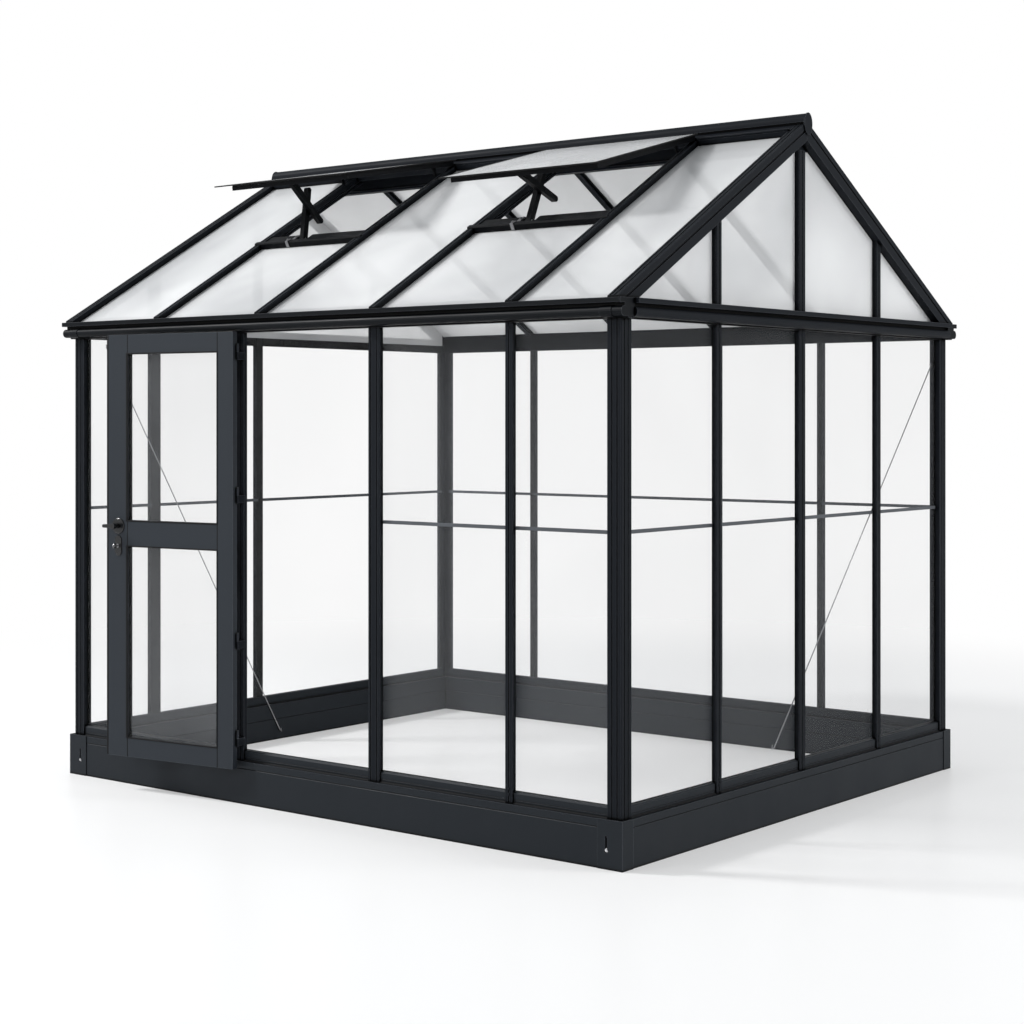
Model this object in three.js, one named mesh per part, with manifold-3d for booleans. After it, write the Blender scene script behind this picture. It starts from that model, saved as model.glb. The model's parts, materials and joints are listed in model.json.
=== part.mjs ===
// A walk-in greenhouse: folded steel base, black aluminium glazing bars, apex roof with two vents,
// and an outward-opening door. Millimetres, +Z up, door wall facing -Y.
import * as THREE from 'three';
import { mergeVertices } from 'three/addons/utils/BufferGeometryUtils.js';
import Module from 'manifold-3d';

const wasm = await Module();
wasm.setup();

// ---------------------------------------------------------------- driving dimensions
const BASE_LENGTH = 2940;       // outside of the base along X
const BASE_WIDTH = 2500;        // outside of the base along Y
const BASE_HEIGHT = 170;
const BASE_DEPTH = 66;          // front to back of one base rail
const FOLD_HEIGHT = 142;        // pressed line along the face of the base
const STEEL = 3;                // wall of the folded base rails
const WALL_INSET = 12;          // outer face of the wall bars, in from the base face
const CLEARANCE = 0.3;          // gap between pieces that touch

const SILL_HEIGHT = 42;
const SILL_INNER = 37;          // inner face of sills and eave beams, in from the wall face
const GROOVE_DEPTH = 12;        // how far a sheet enters the groove of a sill
const EDGE_BITE = 10;           // how far a sheet enters the groove of a post or an eave beam

const BAR_WIDTH = 34;
const ROOF_BAR_WIDTH = 30;
const BAR_DEPTH = 24;
const FLANGE = 6;               // front flange of a bar, which laps over the sill
const FLUTE_WIDTH = 6;
const FLUTE_DEPTH = 2.5;
const PANE = 4;                 // thickness of every sheet
const POST_SIZE = 60;
const POST_LEG = 36;            // the posts are angles: depth of a leg, behind the wall face
const HINGE_JAMB_WIDTH = 66;
const LOCK_JAMB_WIDTH = 58;

const EAVE_UNDERSIDE = 1892;
const EAVE_TOP = 1962;
const FASCIA_HEIGHT = 5;        // flat strip under the moulding
const MOULDING_RADIUS = 18;
const MOULDING_REACH = 24;      // centre of the half-round moulding, out from the wall face
const EAVE_FLANGE = 48;         // top flange, out from the wall face
const EAVE_FLANGE_THICKNESS = 18;
const GUTTER_OVERHANG = 17;     // ends of the gutters, past the ends of the base

const PITCH = THREE.MathUtils.degToRad(30.2);
const EAVE_OVERHANG = 50;       // roof surface at the height of the eave top, out from the wall face
const ROOF_BAR_SETBACK = 12;    // feet of the roof bars, in from there
const RAFTER_LAP = 32;          // inner edge of the end rafters, in from the wall face
const RAFTER_PROUD = 14;        // and their outer edge, out from it
const RAFTER_HEIGHT = 66;
const RIDGE_LAP = 1;            // the wings of the ridge bar end this far past the roof sheets
const END_PLATE = 5;            // thickness of the plates at the ends of the ridge cap
const END_PLATE_HALF_WIDTH = 30;
const RIDGE_WING = 87;          // ridge wing, down the slope from the apex line
const CAP_HALF_WIDTH = 27;
const CAP_NECK = 19;            // half width under the cap, where it stands on the slopes
const CAP_SIDE = 9;             // straight part of the cap's sides
const CAP_RISE = 30.4;          // top of the ridge cap, above the apex line
const CAP_DROP = 51.6;          // foot of its end plates, below the apex line
const RIDGE_BOARD_DROP = 115.6; // foot of the ridge board, below the apex line

const FRONT_BARS = [964];                   // bars of the door wall, beside the jambs
const BACK_BARS = [-838, -280, 280, 842];
const RIGHT_GABLE_BARS = [-617, -14, 615];
const LEFT_GABLE_BARS = [-664, 150, 798];   // counted from the back corner
const CENTRE_BAR_WIDTH = 46;
const WIDE_BAR_WIDTH = 60;      // the left gable's last bar
const ROOF_BARS_FRONT = [-885, -285, 333, 992];
const ROOF_BARS_BACK = [-840, -280, 280, 840];

const HINGE_X = -396;           // door hinge line
const HINGE_OUT = 37.5;          // door hinge line, out from the wall face
const DOORWAY_LEFT = -402;
const DOORWAY_RIGHT = 280;
const DOOR_OPEN = THREE.MathUtils.degToRad(-172.9);
const DOOR_EDGE = 5.5;          // hinge-side edge of the leaf, from the hinge line
const DOOR_WIDTH = 675.5;
const DOOR_FOOT = 145;
const DOOR_HEAD = 1894;
const DOOR_THICKNESS = 26;
const DOOR_FACE = -3;           // outer face of the leaf, from the hinge line
const HINGE_STILE = 84;
const LOCK_STILE = 118;
const TOP_RAIL = 82;
const MIDDLE_RAIL = [1014, 1125];
const BOTTOM_RAIL = 82;
const HINGE_HEIGHTS = [266, 656, 1239, 1814];
const HINGE_LENGTH = 64;
const HINGE_RADIUS = 5;
const HANDLE_HEIGHT = 1100;
const HANDLE_FROM_HINGE = 616;
const LEVER_REACH = 57;         // end of the lever, out from its pivot; it has to pass the lock jamb
const LOCK_HEIGHT = 1018;

const VENT_BAYS = [[0, 1], [2, 3]];         // the front roof bars on each side of a vent
const VENT_OPENING = [20, 15.2].map(THREE.MathUtils.degToRad);
const VENT_HINGE_S = 84;        // vent hinge line, down the slope from the apex line
const VENT_HINGE_N = 8;         // and above the roof surface
const BEAD_RADIUS = 3.5;
const HOOK_INNER = 4.2;
const HOOK_OUTER = 7.4;
const VENT_FRAME_LENGTH = 696;
const VENT_FRAME_WIDTH = 24;
const VENT_FRAME_LIFT = 1.5;    // underside of the shut flap, above the roof bars
const VENT_FRAME_HEIGHT = 22;
const VENT_LAP_LEFT = [88, 56];             // flap frame past the middle of the roof bar on its left
const VENT_LAP_RIGHT = 12;      // and of the one on its right
const PANE_OVERHANG = 18;       // flap pane past the right side of its frame
const PANE_OVERHANG_LEFT = [72, 34];
const PANE_DRIP = 34;           // and past its lower edge
const VENT_SILL = [716, 800];   // vent sill, down the slope
const SILL_NOSE = 20;           // raised nose at its lower edge, which laps over both roof bars
const SILL_NOSE_HEIGHT = 7;
const GUIDE_TAB = 36;           // the flap's guide tabs reach this far below its frame
const NOTCH_FOOT = 768;         // lower edge of the opening in the roof sheet

const OPENER_OFFSET = -66;      // opener, from the middle of its bay
const OPENER_FOOT = { s: 742, n: -18 };
const OPENER_HEAD = { s: 655, n: -5 };      // from the vent hinge line, in the flap's own frame
const ARM_PIVOT_TO_CROSSING = 140;
const ARM_PAST_CROSSING = 78;
const ARM_THICKNESS = 22;
const ARM_GAP = 1;              // half the gap between the two arms
const ARM_END_RADIUS = 15;
const ARM_WAIST = 13;
const PIN_RADIUS = 4;
const PIN_FIT = 0.45;           // play of a pin in its hole
const LUG_THICKNESS = 6;
const LUG_RADIUS = 11;

const ORIGIN_SHIFT = 66;        // the origin is the middle of the whole footprint, open door included

// ---------------------------------------------------------------- values worked out from them
const WALL_Y = BASE_WIDTH / 2 - WALL_INSET;
const WALL_X = BASE_LENGTH / 2 - WALL_INSET;
const SILL_TOP = BASE_HEIGHT + SILL_HEIGHT;
const SHEET_IN = BAR_DEPTH + CLEARANCE;               // outer face of the wall sheets, behind the wall face
const SHEET_FOOT = SILL_TOP - GROOVE_DEPTH + 1;
const SHEET_HEAD = EAVE_UNDERSIDE + EDGE_BITE - 1;
const POST_INNER_X = WALL_X - POST_SIZE;
const POST_INNER_Y = WALL_Y - POST_SIZE;
const GUTTER_END = BASE_LENGTH / 2 + GUTTER_OVERHANG;
const RAFTER_INNER = WALL_X - RAFTER_LAP;
const RAFTER_OUTER = WALL_X + RAFTER_PROUD;
const ROOF_REACH = WALL_Y + EAVE_OVERHANG;
const ROOF_BAR_END = ROOF_REACH - ROOF_BAR_SETBACK;
const APEX_Z = EAVE_TOP + ROOF_REACH * Math.tan(PITCH);
const CAP_TOP = APEX_Z + CAP_RISE;
const CAP_FOOT = APEX_Z - CAP_DROP;
const RIDGE_BOARD_FOOT = APEX_Z - RIDGE_BOARD_DROP;
const MOULDING_Z = EAVE_UNDERSIDE + FASCIA_HEIGHT + MOULDING_RADIUS;
const ROOF_SHEET_TOP = -(BAR_DEPTH + CLEARANCE);
const ROOF_SHEET_UNDER = ROOF_SHEET_TOP - PANE;
const ROOF_SHEET_HALF = WALL_X - BAR_DEPTH - CLEARANCE;
const RIDGE_HALF_LENGTH = ROOF_SHEET_HALF + CLEARANCE + RIDGE_LAP;

const BLACK = 0x24272b;
const STEEL_BLACK = 0x2b2e33;
const CLEAR = 0xe8efef;
const HAZY = 0xe9ebec;
const SILVER = 0xb8babd;

const greenhouse = new THREE.Group();
greenhouse.position.y = ORIGIN_SHIFT;

// ---------------------------------------------------------------- small tools
const vec = (x, y) => new THREE.Vector2(x, y);

function arc(cx, cy, radius, from, to, steps) {
  const points = [];
  for (let i = 0; i <= steps; i++) {
    const angle = THREE.MathUtils.degToRad(from + ((to - from) * i) / steps);
    points.push(vec(cx + radius * Math.cos(angle), cy + radius * Math.sin(angle)));
  }
  return points;
}

const circle = (cx, cy, radius, sides) => arc(cx, cy, radius, 0, 360 - 360 / sides, sides - 1);

const rectangle = (x0, y0, x1, y1) => [vec(x0, y0), vec(x1, y0), vec(x1, y1), vec(x0, y1)];

// The other half of a section that is the same on both sides of the line x = 0.
function mirrored(half) {
  const other = half.filter((p) => p.x !== 0).map((p) => vec(-p.x, p.y)).reverse();
  return [...half, ...other];
}

// The outline of a sheet-metal fold: the path of its outer face, and its thickness to the left of it.
function folded(path, thickness) {
  const inner = path.map((point, i) => {
    const before = path[Math.max(i - 1, 0)];
    const after = path[Math.min(i + 1, path.length - 1)];
    const into = i > 0 ? point.clone().sub(before).normalize() : after.clone().sub(point).normalize();
    const out = i < path.length - 1 ? after.clone().sub(point).normalize() : into;
    const bisector = vec(-into.y - out.y, into.x + out.x).normalize();
    return bisector.multiplyScalar(thickness / bisector.dot(vec(-into.y, into.x))).add(point);
  });
  return [...path, ...inner.reverse()];
}

// A prism with its section in local x and y, from z0 to z1.
function prism(section, z0, z1, holes = []) {
  const shape = new THREE.Shape(section);
  shape.holes = holes.map((points) => new THREE.Path(points));
  const geometry = new THREE.ExtrudeGeometry(shape, { depth: z1 - z0, bevelEnabled: false });
  return geometry.translate(0, 0, z0);
}

// The same prism laid along x, with its section in y and z.
function prismX(section, x0, x1, holes = []) {
  const turn = new THREE.Matrix4().makeBasis(
    new THREE.Vector3(0, 1, 0), new THREE.Vector3(0, 0, 1), new THREE.Vector3(1, 0, 0));
  return prism(section, x0, x1, holes).applyMatrix4(turn);
}

// The same prism laid along y, with its section in x and z.
function prismY(section, y0, y1, holes = []) {
  const turn = new THREE.Matrix4().makeBasis(
    new THREE.Vector3(1, 0, 0), new THREE.Vector3(0, 0, 1), new THREE.Vector3(0, -1, 0));
  return prism(section, -y1, -y0, holes).applyMatrix4(turn);
}

const block = (x0, y0, z0, x1, y1, z1) => prism(rectangle(x0, y0, x1, y1), z0, z1);

function solidOf(geometry) {
  const bare = new THREE.BufferGeometry();
  bare.setAttribute('position', geometry.getAttribute('position'));
  if (geometry.index) bare.setIndex(geometry.index);
  const merged = mergeVertices(bare, 1e-4);
  return new wasm.Manifold(new wasm.Mesh({
    numProp: 3,
    vertProperties: new Float32Array(merged.getAttribute('position').array),
    triVerts: new Uint32Array(merged.index.array),
  }));
}

function geometryOf(solid) {
  const mesh = solid.getMesh();
  const geometry = new THREE.BufferGeometry();
  geometry.setAttribute('position', new THREE.BufferAttribute(mesh.vertProperties.slice(), 3));
  geometry.setIndex(new THREE.BufferAttribute(mesh.triVerts.slice(), 1));
  geometry.computeVertexNormals();
  return geometry;
}

const join = (...parts) => geometryOf(parts.map(solidOf).reduce((a, b) => a.add(b)));
const cut = (body, ...tools) => geometryOf(tools.map(solidOf).reduce((a, b) => a.subtract(b), solidOf(body)));
const common = (a, b) => geometryOf(solidOf(a).intersect(solidOf(b)));

function add(parent, name, geometry, color, finish = {}) {
  const material = new THREE.MeshStandardMaterial({ color, roughness: 0.45, metalness: 0.3, ...finish });
  const mesh = new THREE.Mesh(geometry, material);
  mesh.name = name;
  parent.add(mesh);
  return mesh;
}

const glass = { roughness: 0.05, metalness: 0, transparent: true, opacity: 0.25 };
const haze = { roughness: 0.5, metalness: 0, transparent: true, opacity: 0.6 };

// A group that stands at one wall: local x runs along the wall and local -y points out of it.
function wall(turn) {
  const group = new THREE.Group();
  group.rotation.z = turn;
  greenhouse.add(group);
  return group;
}

const walls = {
  front: wall(0),
  right: wall(Math.PI / 2),
  back: wall(Math.PI),
  left: wall(-Math.PI / 2),
};

// A group that lies on one roof slope: local x runs along the ridge, y is n, out of the slope, and
// z is s, down the slope from the apex line.
function slope(turn) {
  const group = new THREE.Group();
  const tilt = new THREE.Matrix4().makeBasis(
    new THREE.Vector3(1, 0, 0),
    new THREE.Vector3(0, -Math.sin(PITCH), Math.cos(PITCH)),
    new THREE.Vector3(0, -Math.cos(PITCH), -Math.sin(PITCH)));
  const place = new THREE.Matrix4().makeRotationZ(turn).multiply(
    new THREE.Matrix4().makeTranslation(0, 0, APEX_Z)).multiply(tilt);
  place.decompose(group.position, group.quaternion, group.scale);
  greenhouse.add(group);
  return group;
}

const slopes = { front: slope(0), back: slope(Math.PI) };

// Height over the slope, n, of a level line at height z, at s down the slope.
const levelAt = (z, s) => (z - APEX_Z + s * Math.sin(PITCH)) / Math.cos(PITCH);
// Distance down the slope, s, of an upright line at distance y from the ridge line, at height n.
const uprightAt = (y, n) => (y - n * Math.sin(PITCH)) / Math.cos(PITCH);
// Distance down the slope, s, where a line at height n over it meets the level z.
const levelMeets = (z, n) => (n * Math.cos(PITCH) - z + APEX_Z) / Math.sin(PITCH);
// Height above the ground of a line n over the slope, at distance y from the ridge line.
const slopeHeight = (n, y) => APEX_Z + n / Math.cos(PITCH) - Math.abs(y) * Math.tan(PITCH);

// ---------------------------------------------------------------- base rails with sills
// Section of a rail: y runs in from the outer face of the base, at -reach.
function baseRailSection(reach) {
  const path = [
    [BASE_DEPTH - 20, 0], [BASE_DEPTH, 0], [BASE_DEPTH, 96], [BASE_DEPTH - 2.5, 99], [BASE_DEPTH, 102],
    [BASE_DEPTH, BASE_HEIGHT], [0, BASE_HEIGHT],
    [0, FOLD_HEIGHT + 3], [2.5, FOLD_HEIGHT], [0, FOLD_HEIGHT - 3],
    [0, 0], [22, 0],
  ];
  return folded(path.map(([d, z]) => vec(d - reach, z)), STEEL);
}

function sillSection(face) {
  const front = face + FLANGE + CLEARANCE;
  const groove = face + BAR_DEPTH;
  return [
    vec(front, BASE_HEIGHT - 1), vec(face + SILL_INNER, BASE_HEIGHT - 1), vec(face + SILL_INNER, SILL_TOP),
    vec(groove + PANE + 2 * CLEARANCE, SILL_TOP),
    vec(groove + PANE + 2 * CLEARANCE, SILL_TOP - GROOVE_DEPTH), vec(groove, SILL_TOP - GROOVE_DEPTH),
    vec(groove, SILL_TOP), vec(front + 5, SILL_TOP), vec(front, SILL_TOP - 5),
    vec(front, BASE_HEIGHT + 16), vec(front + 1.5, BASE_HEIGHT + 14.5), vec(front, BASE_HEIGHT + 13),
  ];
}

// The wrap-around corner plate at one end of a long rail.
function cornerPlate(side) {
  const end = BASE_LENGTH / 2;
  const face = -BASE_WIDTH / 2;
  const top = BASE_HEIGHT + 2;
  const front = block(end - 104, face - STEEL, 0, end + STEEL, face + 1, top);
  const turned = block(end - 1, face - STEEL, 0, end + STEEL, face + BASE_DEPTH - 4, top);
  const plate = join(front, turned);
  return side > 0 ? plate : mirrorX(plate);
}

function mirrorX(geometry) {
  return geometryOf(solidOf(geometry).mirror([1, 0, 0]));
}

function keyhole(side) {
  const x = side * (BASE_LENGTH / 2 - 66);
  const depth = [-BASE_WIDTH / 2 - 2 * STEEL, -BASE_WIDTH / 2 + 2 * STEEL];
  const slot = prismY(rectangle(x - 4, 64, x + 4, 112), ...depth);
  return join(slot, prismY(circle(x, 64, 8, 16), ...depth), prismY(circle(x, 112, 4, 12), ...depth));
}

function longRail() {
  const rail = prismX(baseRailSection(BASE_WIDTH / 2), -BASE_LENGTH / 2, BASE_LENGTH / 2);
  const sillEnd = POST_INNER_X - CLEARANCE;
  const sill = prismX(sillSection(-WALL_Y), -sillEnd, sillEnd);
  return cut(join(rail, sill, cornerPlate(1), cornerPlate(-1)), keyhole(1), keyhole(-1));
}

function shortRail() {
  const end = BASE_WIDTH / 2 - BASE_DEPTH - CLEARANCE;
  const rail = prismX(baseRailSection(BASE_LENGTH / 2), -end, end);
  const sillEnd = POST_INNER_Y - CLEARANCE;
  return join(rail, prismX(sillSection(-WALL_X), -sillEnd, sillEnd));
}

for (const [name, group] of Object.entries(walls)) {
  const isLong = name === 'front' || name === 'back';
  add(group, `base_rail_${name}`, isLong ? longRail() : shortRail(), STEEL_BLACK);
}

// ---------------------------------------------------------------- corner posts
// An angle with two flutes on each outer face and a sheet groove in each leg. It is drawn for the
// front right corner, with x and y in from the outer edge of that corner.
function postSection() {
  const flute = (at) => [
    [at, 0], [at + 1, FLUTE_DEPTH], [at + FLUTE_WIDTH - 1, FLUTE_DEPTH], [at + FLUTE_WIDTH, 0]];
  const groove0 = BAR_DEPTH;
  const groove1 = BAR_DEPTH + PANE + 2 * CLEARANCE;
  const outerFace = [[3, 0], ...flute(15), ...flute(37), [POST_SIZE, 0]];
  const innerFace = [
    [POST_SIZE, groove0], [POST_SIZE - EDGE_BITE, groove0], [POST_SIZE - EDGE_BITE, groove1],
    [POST_SIZE, groove1], [POST_SIZE, POST_LEG], [POST_LEG, POST_LEG],
  ];
  const half = [...outerFace, ...innerFace];
  const other = half.slice(0, -1).map(([a, b]) => [b, a]).reverse();
  return [...half, ...other].map(([a, b]) => vec(a, b));
}

const POST_FOOT = BASE_HEIGHT + CLEARANCE;
for (const [name, sx, sy] of [
  ['front_right', 1, -1], ['back_right', 1, 1], ['back_left', -1, 1], ['front_left', -1, -1]]) {
  let section = postSection().map((p) => vec(sx * (WALL_X - p.x), sy * (WALL_Y - p.y)));
  if (sx * sy > 0) section = section.reverse();
  const post = prism(section, POST_FOOT, EAVE_UNDERSIDE - CLEARANCE);
  add(greenhouse, `corner_post_${name}`, post, BLACK);
}

// ---------------------------------------------------------------- wall bars and jambs
// Section of a bar: a front flange with a flute, and a narrower body behind it. y runs inwards.
function barSection(width, depth, flutes) {
  const half = width / 2;
  const inner = half * 0.42;
  const face = flutes === 1
    ? [[FLUTE_WIDTH / 2, FLUTE_DEPTH], [FLUTE_WIDTH / 2, 0]]
    : [[inner, 0], [inner, FLUTE_DEPTH], [inner + FLUTE_WIDTH, FLUTE_DEPTH], [inner + FLUTE_WIDTH, 0]];
  const points = [
    ...face, [half - 1.5, 0], [half, 1.5], [half, FLANGE], [half - 3, FLANGE], [half - 3, depth]];
  return mirrored(points.map(([x, y]) => vec(x, y))).reverse();
}

// An upright in wall-local coordinates: its flange laps down over the sill to the base.
function upright(x, face, width, flutes, top) {
  const section = barSection(width, BAR_DEPTH, flutes).map((p) => vec(p.x + x, p.y + face));
  const inFrom = face + FLANGE - 0.5;
  const overSill = block(x - width, inFrom, 0, x + width, face + 2 * BAR_DEPTH, SILL_TOP + CLEARANCE);
  return cut(prism(section, POST_FOOT, top), overSill);
}

const BAR_TOP = EAVE_UNDERSIDE - CLEARANCE;

add(walls.front, 'door_jamb_hinge', join(
  upright(DOORWAY_LEFT - HINGE_JAMB_WIDTH / 2, -WALL_Y, HINGE_JAMB_WIDTH, 2, BAR_TOP),
  ...HINGE_HEIGHTS.map(fixedKnuckle)), BLACK);
add(walls.front, 'door_jamb_lock',
  upright(DOORWAY_RIGHT + LOCK_JAMB_WIDTH / 2, -WALL_Y, LOCK_JAMB_WIDTH, 2, BAR_TOP), BLACK);
FRONT_BARS.forEach((x) => add(
  walls.front, 'wall_bar_front', upright(x, -WALL_Y, BAR_WIDTH, 1, BAR_TOP), BLACK));
BACK_BARS.forEach((x, i) => {
  add(walls.back, `wall_bar_back_${i + 1}`, upright(x, -WALL_Y, BAR_WIDTH, 1, BAR_TOP), BLACK);
});

// Gable bars run on behind the tie beam to the underside of the rafters, or of the ridge board.
function gableBar(x, width) {
  const limit = (at) => Math.min(slopeHeight(-(RAFTER_HEIGHT + CLEARANCE), at), RIDGE_BOARD_FOOT - CLEARANCE);
  const roofLine = prismY([
    vec(x - width, 0), vec(x + width, 0), vec(x + width, limit(x + width)), vec(x - width, limit(x - width)),
  ], -WALL_X - 50, -WALL_X + 50);
  return common(upright(x, -WALL_X, width, 1, APEX_Z), roofLine);
}

const RIGHT_GABLE_WIDTHS = [BAR_WIDTH, CENTRE_BAR_WIDTH, BAR_WIDTH];
const LEFT_GABLE_WIDTHS = [BAR_WIDTH, CENTRE_BAR_WIDTH, WIDE_BAR_WIDTH];
RIGHT_GABLE_BARS.forEach((x, i) => add(
  walls.right, `gable_bar_right_${i + 1}`, gableBar(x, RIGHT_GABLE_WIDTHS[i]), BLACK));
LEFT_GABLE_BARS.forEach((x, i) => add(
  walls.left, `gable_bar_left_${i + 1}`, gableBar(x, LEFT_GABLE_WIDTHS[i]), BLACK));

// ---------------------------------------------------------------- eave gutters and gable tie beams
// The moulding that all four share, from the underside up: fascia, half round, notch and top flange.
// u runs out from the wall face.
function mouldingOutline() {
  const notch = MOULDING_REACH - 5;
  const underFlange = EAVE_TOP - EAVE_FLANGE_THICKNESS;
  return [
    vec(0, EAVE_UNDERSIDE), vec(0, EAVE_UNDERSIDE + FASCIA_HEIGHT),
    ...arc(MOULDING_REACH, MOULDING_Z, MOULDING_RADIUS, -90, 90, 10),
    vec(notch, MOULDING_Z + MOULDING_RADIUS), vec(notch, underFlange),
    vec(EAVE_FLANGE - 1.5, underFlange), vec(EAVE_FLANGE, underFlange + 1.5),
    vec(EAVE_FLANGE, EAVE_TOP - 1.5),
    vec(EAVE_FLANGE - 1.5, EAVE_TOP),
  ];
}

function gutter() {
  const toWall = (points) => points.map((p) => vec(-WALL_Y - p.x, p.y));
  const grooveFront = -BAR_DEPTH;
  const grooveBack = -(BAR_DEPTH + PANE + 2 * CLEARANCE);
  const sheetLine = (u) => slopeHeight(ROOF_SHEET_UNDER - CLEARANCE, WALL_Y + u);
  const sheetApex = APEX_Z + (ROOF_SHEET_UNDER - CLEARANCE) / Math.cos(PITCH);
  const shelfEnd = (sheetApex - EAVE_TOP) / Math.tan(PITCH) - WALL_Y;
  const section = [
    ...mouldingOutline(), vec(-SILL_INNER, EAVE_TOP), vec(-SILL_INNER, EAVE_UNDERSIDE),
    vec(grooveBack, EAVE_UNDERSIDE), vec(grooveBack, EAVE_UNDERSIDE + EDGE_BITE),
    vec(grooveFront, EAVE_UNDERSIDE + EDGE_BITE), vec(grooveFront, EAVE_UNDERSIDE),
  ];
  const shelf = [
    vec(-SILL_INNER, EAVE_TOP - 1), vec(shelfEnd, EAVE_TOP - 1), vec(shelfEnd, EAVE_TOP),
    vec(-SILL_INNER, sheetLine(-SILL_INNER)),
  ];
  const sleeve = arc(MOULDING_REACH, MOULDING_Z, MOULDING_RADIUS + 2.5, -90, 90, 10);
  sleeve.push(vec(2, MOULDING_Z + MOULDING_RADIUS + 2.5), vec(2, MOULDING_Z - MOULDING_RADIUS - 2.5));
  const shelfReach = RAFTER_INNER - CLEARANCE;
  const sleeves = [-1, 1].map((side) => {
    const [x0, x1] = [side * (GUTTER_END - 92), side * (GUTTER_END - 44)].sort((a, b) => a - b);
    return prismX(toWall(sleeve).reverse(), x0, x1);
  });
  return join(
    prismX(toWall(section).reverse(), -GUTTER_END, GUTTER_END),
    prismX(toWall(shelf), -shelfReach, shelfReach), ...sleeves);
}

function tieBeam(bars, widths) {
  const toWall = (points) => points.map((p) => vec(-WALL_X - p.x, p.y));
  const section = [...mouldingOutline(), vec(-BAR_DEPTH, EAVE_TOP), vec(-BAR_DEPTH, EAVE_UNDERSIDE)];
  const end = WALL_Y - SILL_INNER - CLEARANCE;
  const beam = prismX(toWall(section).reverse(), -end, end);
  const slots = bars.map((x, i) => {
    const half = widths[i] / 2 + CLEARANCE;
    return block(x - half, -WALL_X - CLEARANCE, EAVE_UNDERSIDE - 10, x + half, -WALL_X + 60, EAVE_TOP + 10);
  });
  return cut(beam, ...slots);
}

add(walls.front, 'eave_gutter_front', gutter(), BLACK);
add(walls.back, 'eave_gutter_back', gutter(), BLACK);
add(walls.right, 'gable_beam_right', tieBeam(RIGHT_GABLE_BARS, RIGHT_GABLE_WIDTHS), BLACK);
add(walls.left, 'gable_beam_left', tieBeam(LEFT_GABLE_BARS, LEFT_GABLE_WIDTHS), BLACK);

// ---------------------------------------------------------------- rafters and roof bars
// Side view of a roof member, in s and n: cut upright at the ridge and at the foot, and level on the eave.
function roofSideView(height) {
  const rest = EAVE_TOP + CLEARANCE;
  const over = 5;
  const toe = ROOF_BAR_END * Math.cos(PITCH) + (APEX_Z - rest) * Math.sin(PITCH);
  return [
    vec(toe, levelAt(rest, toe)), vec(uprightAt(ROOF_BAR_END, over), over), vec(RIDGE_WING + CLEARANCE, over),
    vec(RIDGE_WING + CLEARANCE, -height - over), vec(levelMeets(rest, -height - over), -height - over),
  ];
}

// Lay a prism whose section is in s and n across the slope group, along its x.
function acrossSlope(section, x0, x1, holes = []) {
  const turn = new THREE.Matrix4().makeBasis(
    new THREE.Vector3(0, 0, 1), new THREE.Vector3(0, 1, 0), new THREE.Vector3(-1, 0, 0));
  return prism(section, -x1, -x0, holes).applyMatrix4(turn);
}

function roofMember(section, height) {
  const along = prism(section, RIDGE_WING - 10, ROOF_REACH / Math.cos(PITCH) + 60);
  return common(along, acrossSlope(roofSideView(height), -BASE_LENGTH, BASE_LENGTH));
}

// An end rafter runs on past the end of the ridge bar, to a mitre with the one on the other slope.
function rafter(side) {
  const long = prism(rafterSection(side), -120, ROOF_REACH / Math.cos(PITCH) + 60);
  const foot = roofSideView(RAFTER_HEIGHT);
  const mitre = (n) => vec(uprightAt(CLEARANCE, n), n);
  const view = [foot[0], foot[1], mitre(5), mitre(-RAFTER_HEIGHT - 5), foot[4]];
  const ridgeEnd = RIDGE_HALF_LENGTH + CLEARANCE;
  const [x0, x1] = [side * ridgeEnd, side * (RAFTER_INNER - 20)].sort((p, q) => p - q);
  return cut(
    common(long, acrossSlope(view, -BASE_LENGTH, BASE_LENGTH)),
    block(x0, -RAFTER_HEIGHT - 60, -60, x1, 60, RIDGE_WING + CLEARANCE));
}

// Section in x and n, with the outer face at n = 0.
const roofBarSection = (x) => barSection(ROOF_BAR_WIDTH, BAR_DEPTH, 1)
  .map((p) => vec(x + p.x, -p.y)).reverse();

function rafterSection(side) {
  const sheetSide = WALL_X - BAR_DEPTH;
  const flute = (at) => [
    [at, 0], [at, -FLUTE_DEPTH], [at + FLUTE_WIDTH, -FLUTE_DEPTH], [at + FLUTE_WIDTH, 0]];
  const half = [
    [RAFTER_INNER, -BAR_DEPTH], [RAFTER_INNER, -1.5], [RAFTER_INNER + 1.5, 0], ...flute(RAFTER_INNER + 10),
    ...flute(RAFTER_INNER + 27), [RAFTER_OUTER - 1.5, 0], [RAFTER_OUTER, -1.5], [RAFTER_OUTER, -22],
    [RAFTER_OUTER - 4, -24], [RAFTER_OUTER - 4, -30], [RAFTER_OUTER, -32], [RAFTER_OUTER, -RAFTER_HEIGHT],
    [sheetSide + CLEARANCE, -RAFTER_HEIGHT], [sheetSide + CLEARANCE, -BAR_DEPTH],
  ].map(([x, n]) => vec(side * x, n));
  return side > 0 ? half.reverse() : half;
}

for (const [name, group] of Object.entries(slopes)) {
  const bars = name === 'front' ? ROOF_BARS_FRONT : ROOF_BARS_BACK;
  bars.forEach((x, i) => {
    add(group, `roof_bar_${name}_${i + 1}`, roofMember(roofBarSection(x), BAR_DEPTH), BLACK);
  });
  for (const side of [-1, 1]) {
    const isRight = (side > 0) === (name === 'front');
    add(group, `rafter_${name}_${isRight ? 'right' : 'left'}`, rafter(side), BLACK);
  }
}

// ---------------------------------------------------------------- ridge bar
// One extrusion: the tall rounded cap, a wing down each slope with a round hinge bead on it, and the
// web and foot that stand between the roof sheets. It is drawn in y and z, for y >= 0.
const onSlope = (s, n) => vec(
  s * Math.cos(PITCH) + n * Math.sin(PITCH), APEX_Z - s * Math.sin(PITCH) + n * Math.cos(PITCH));

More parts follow.
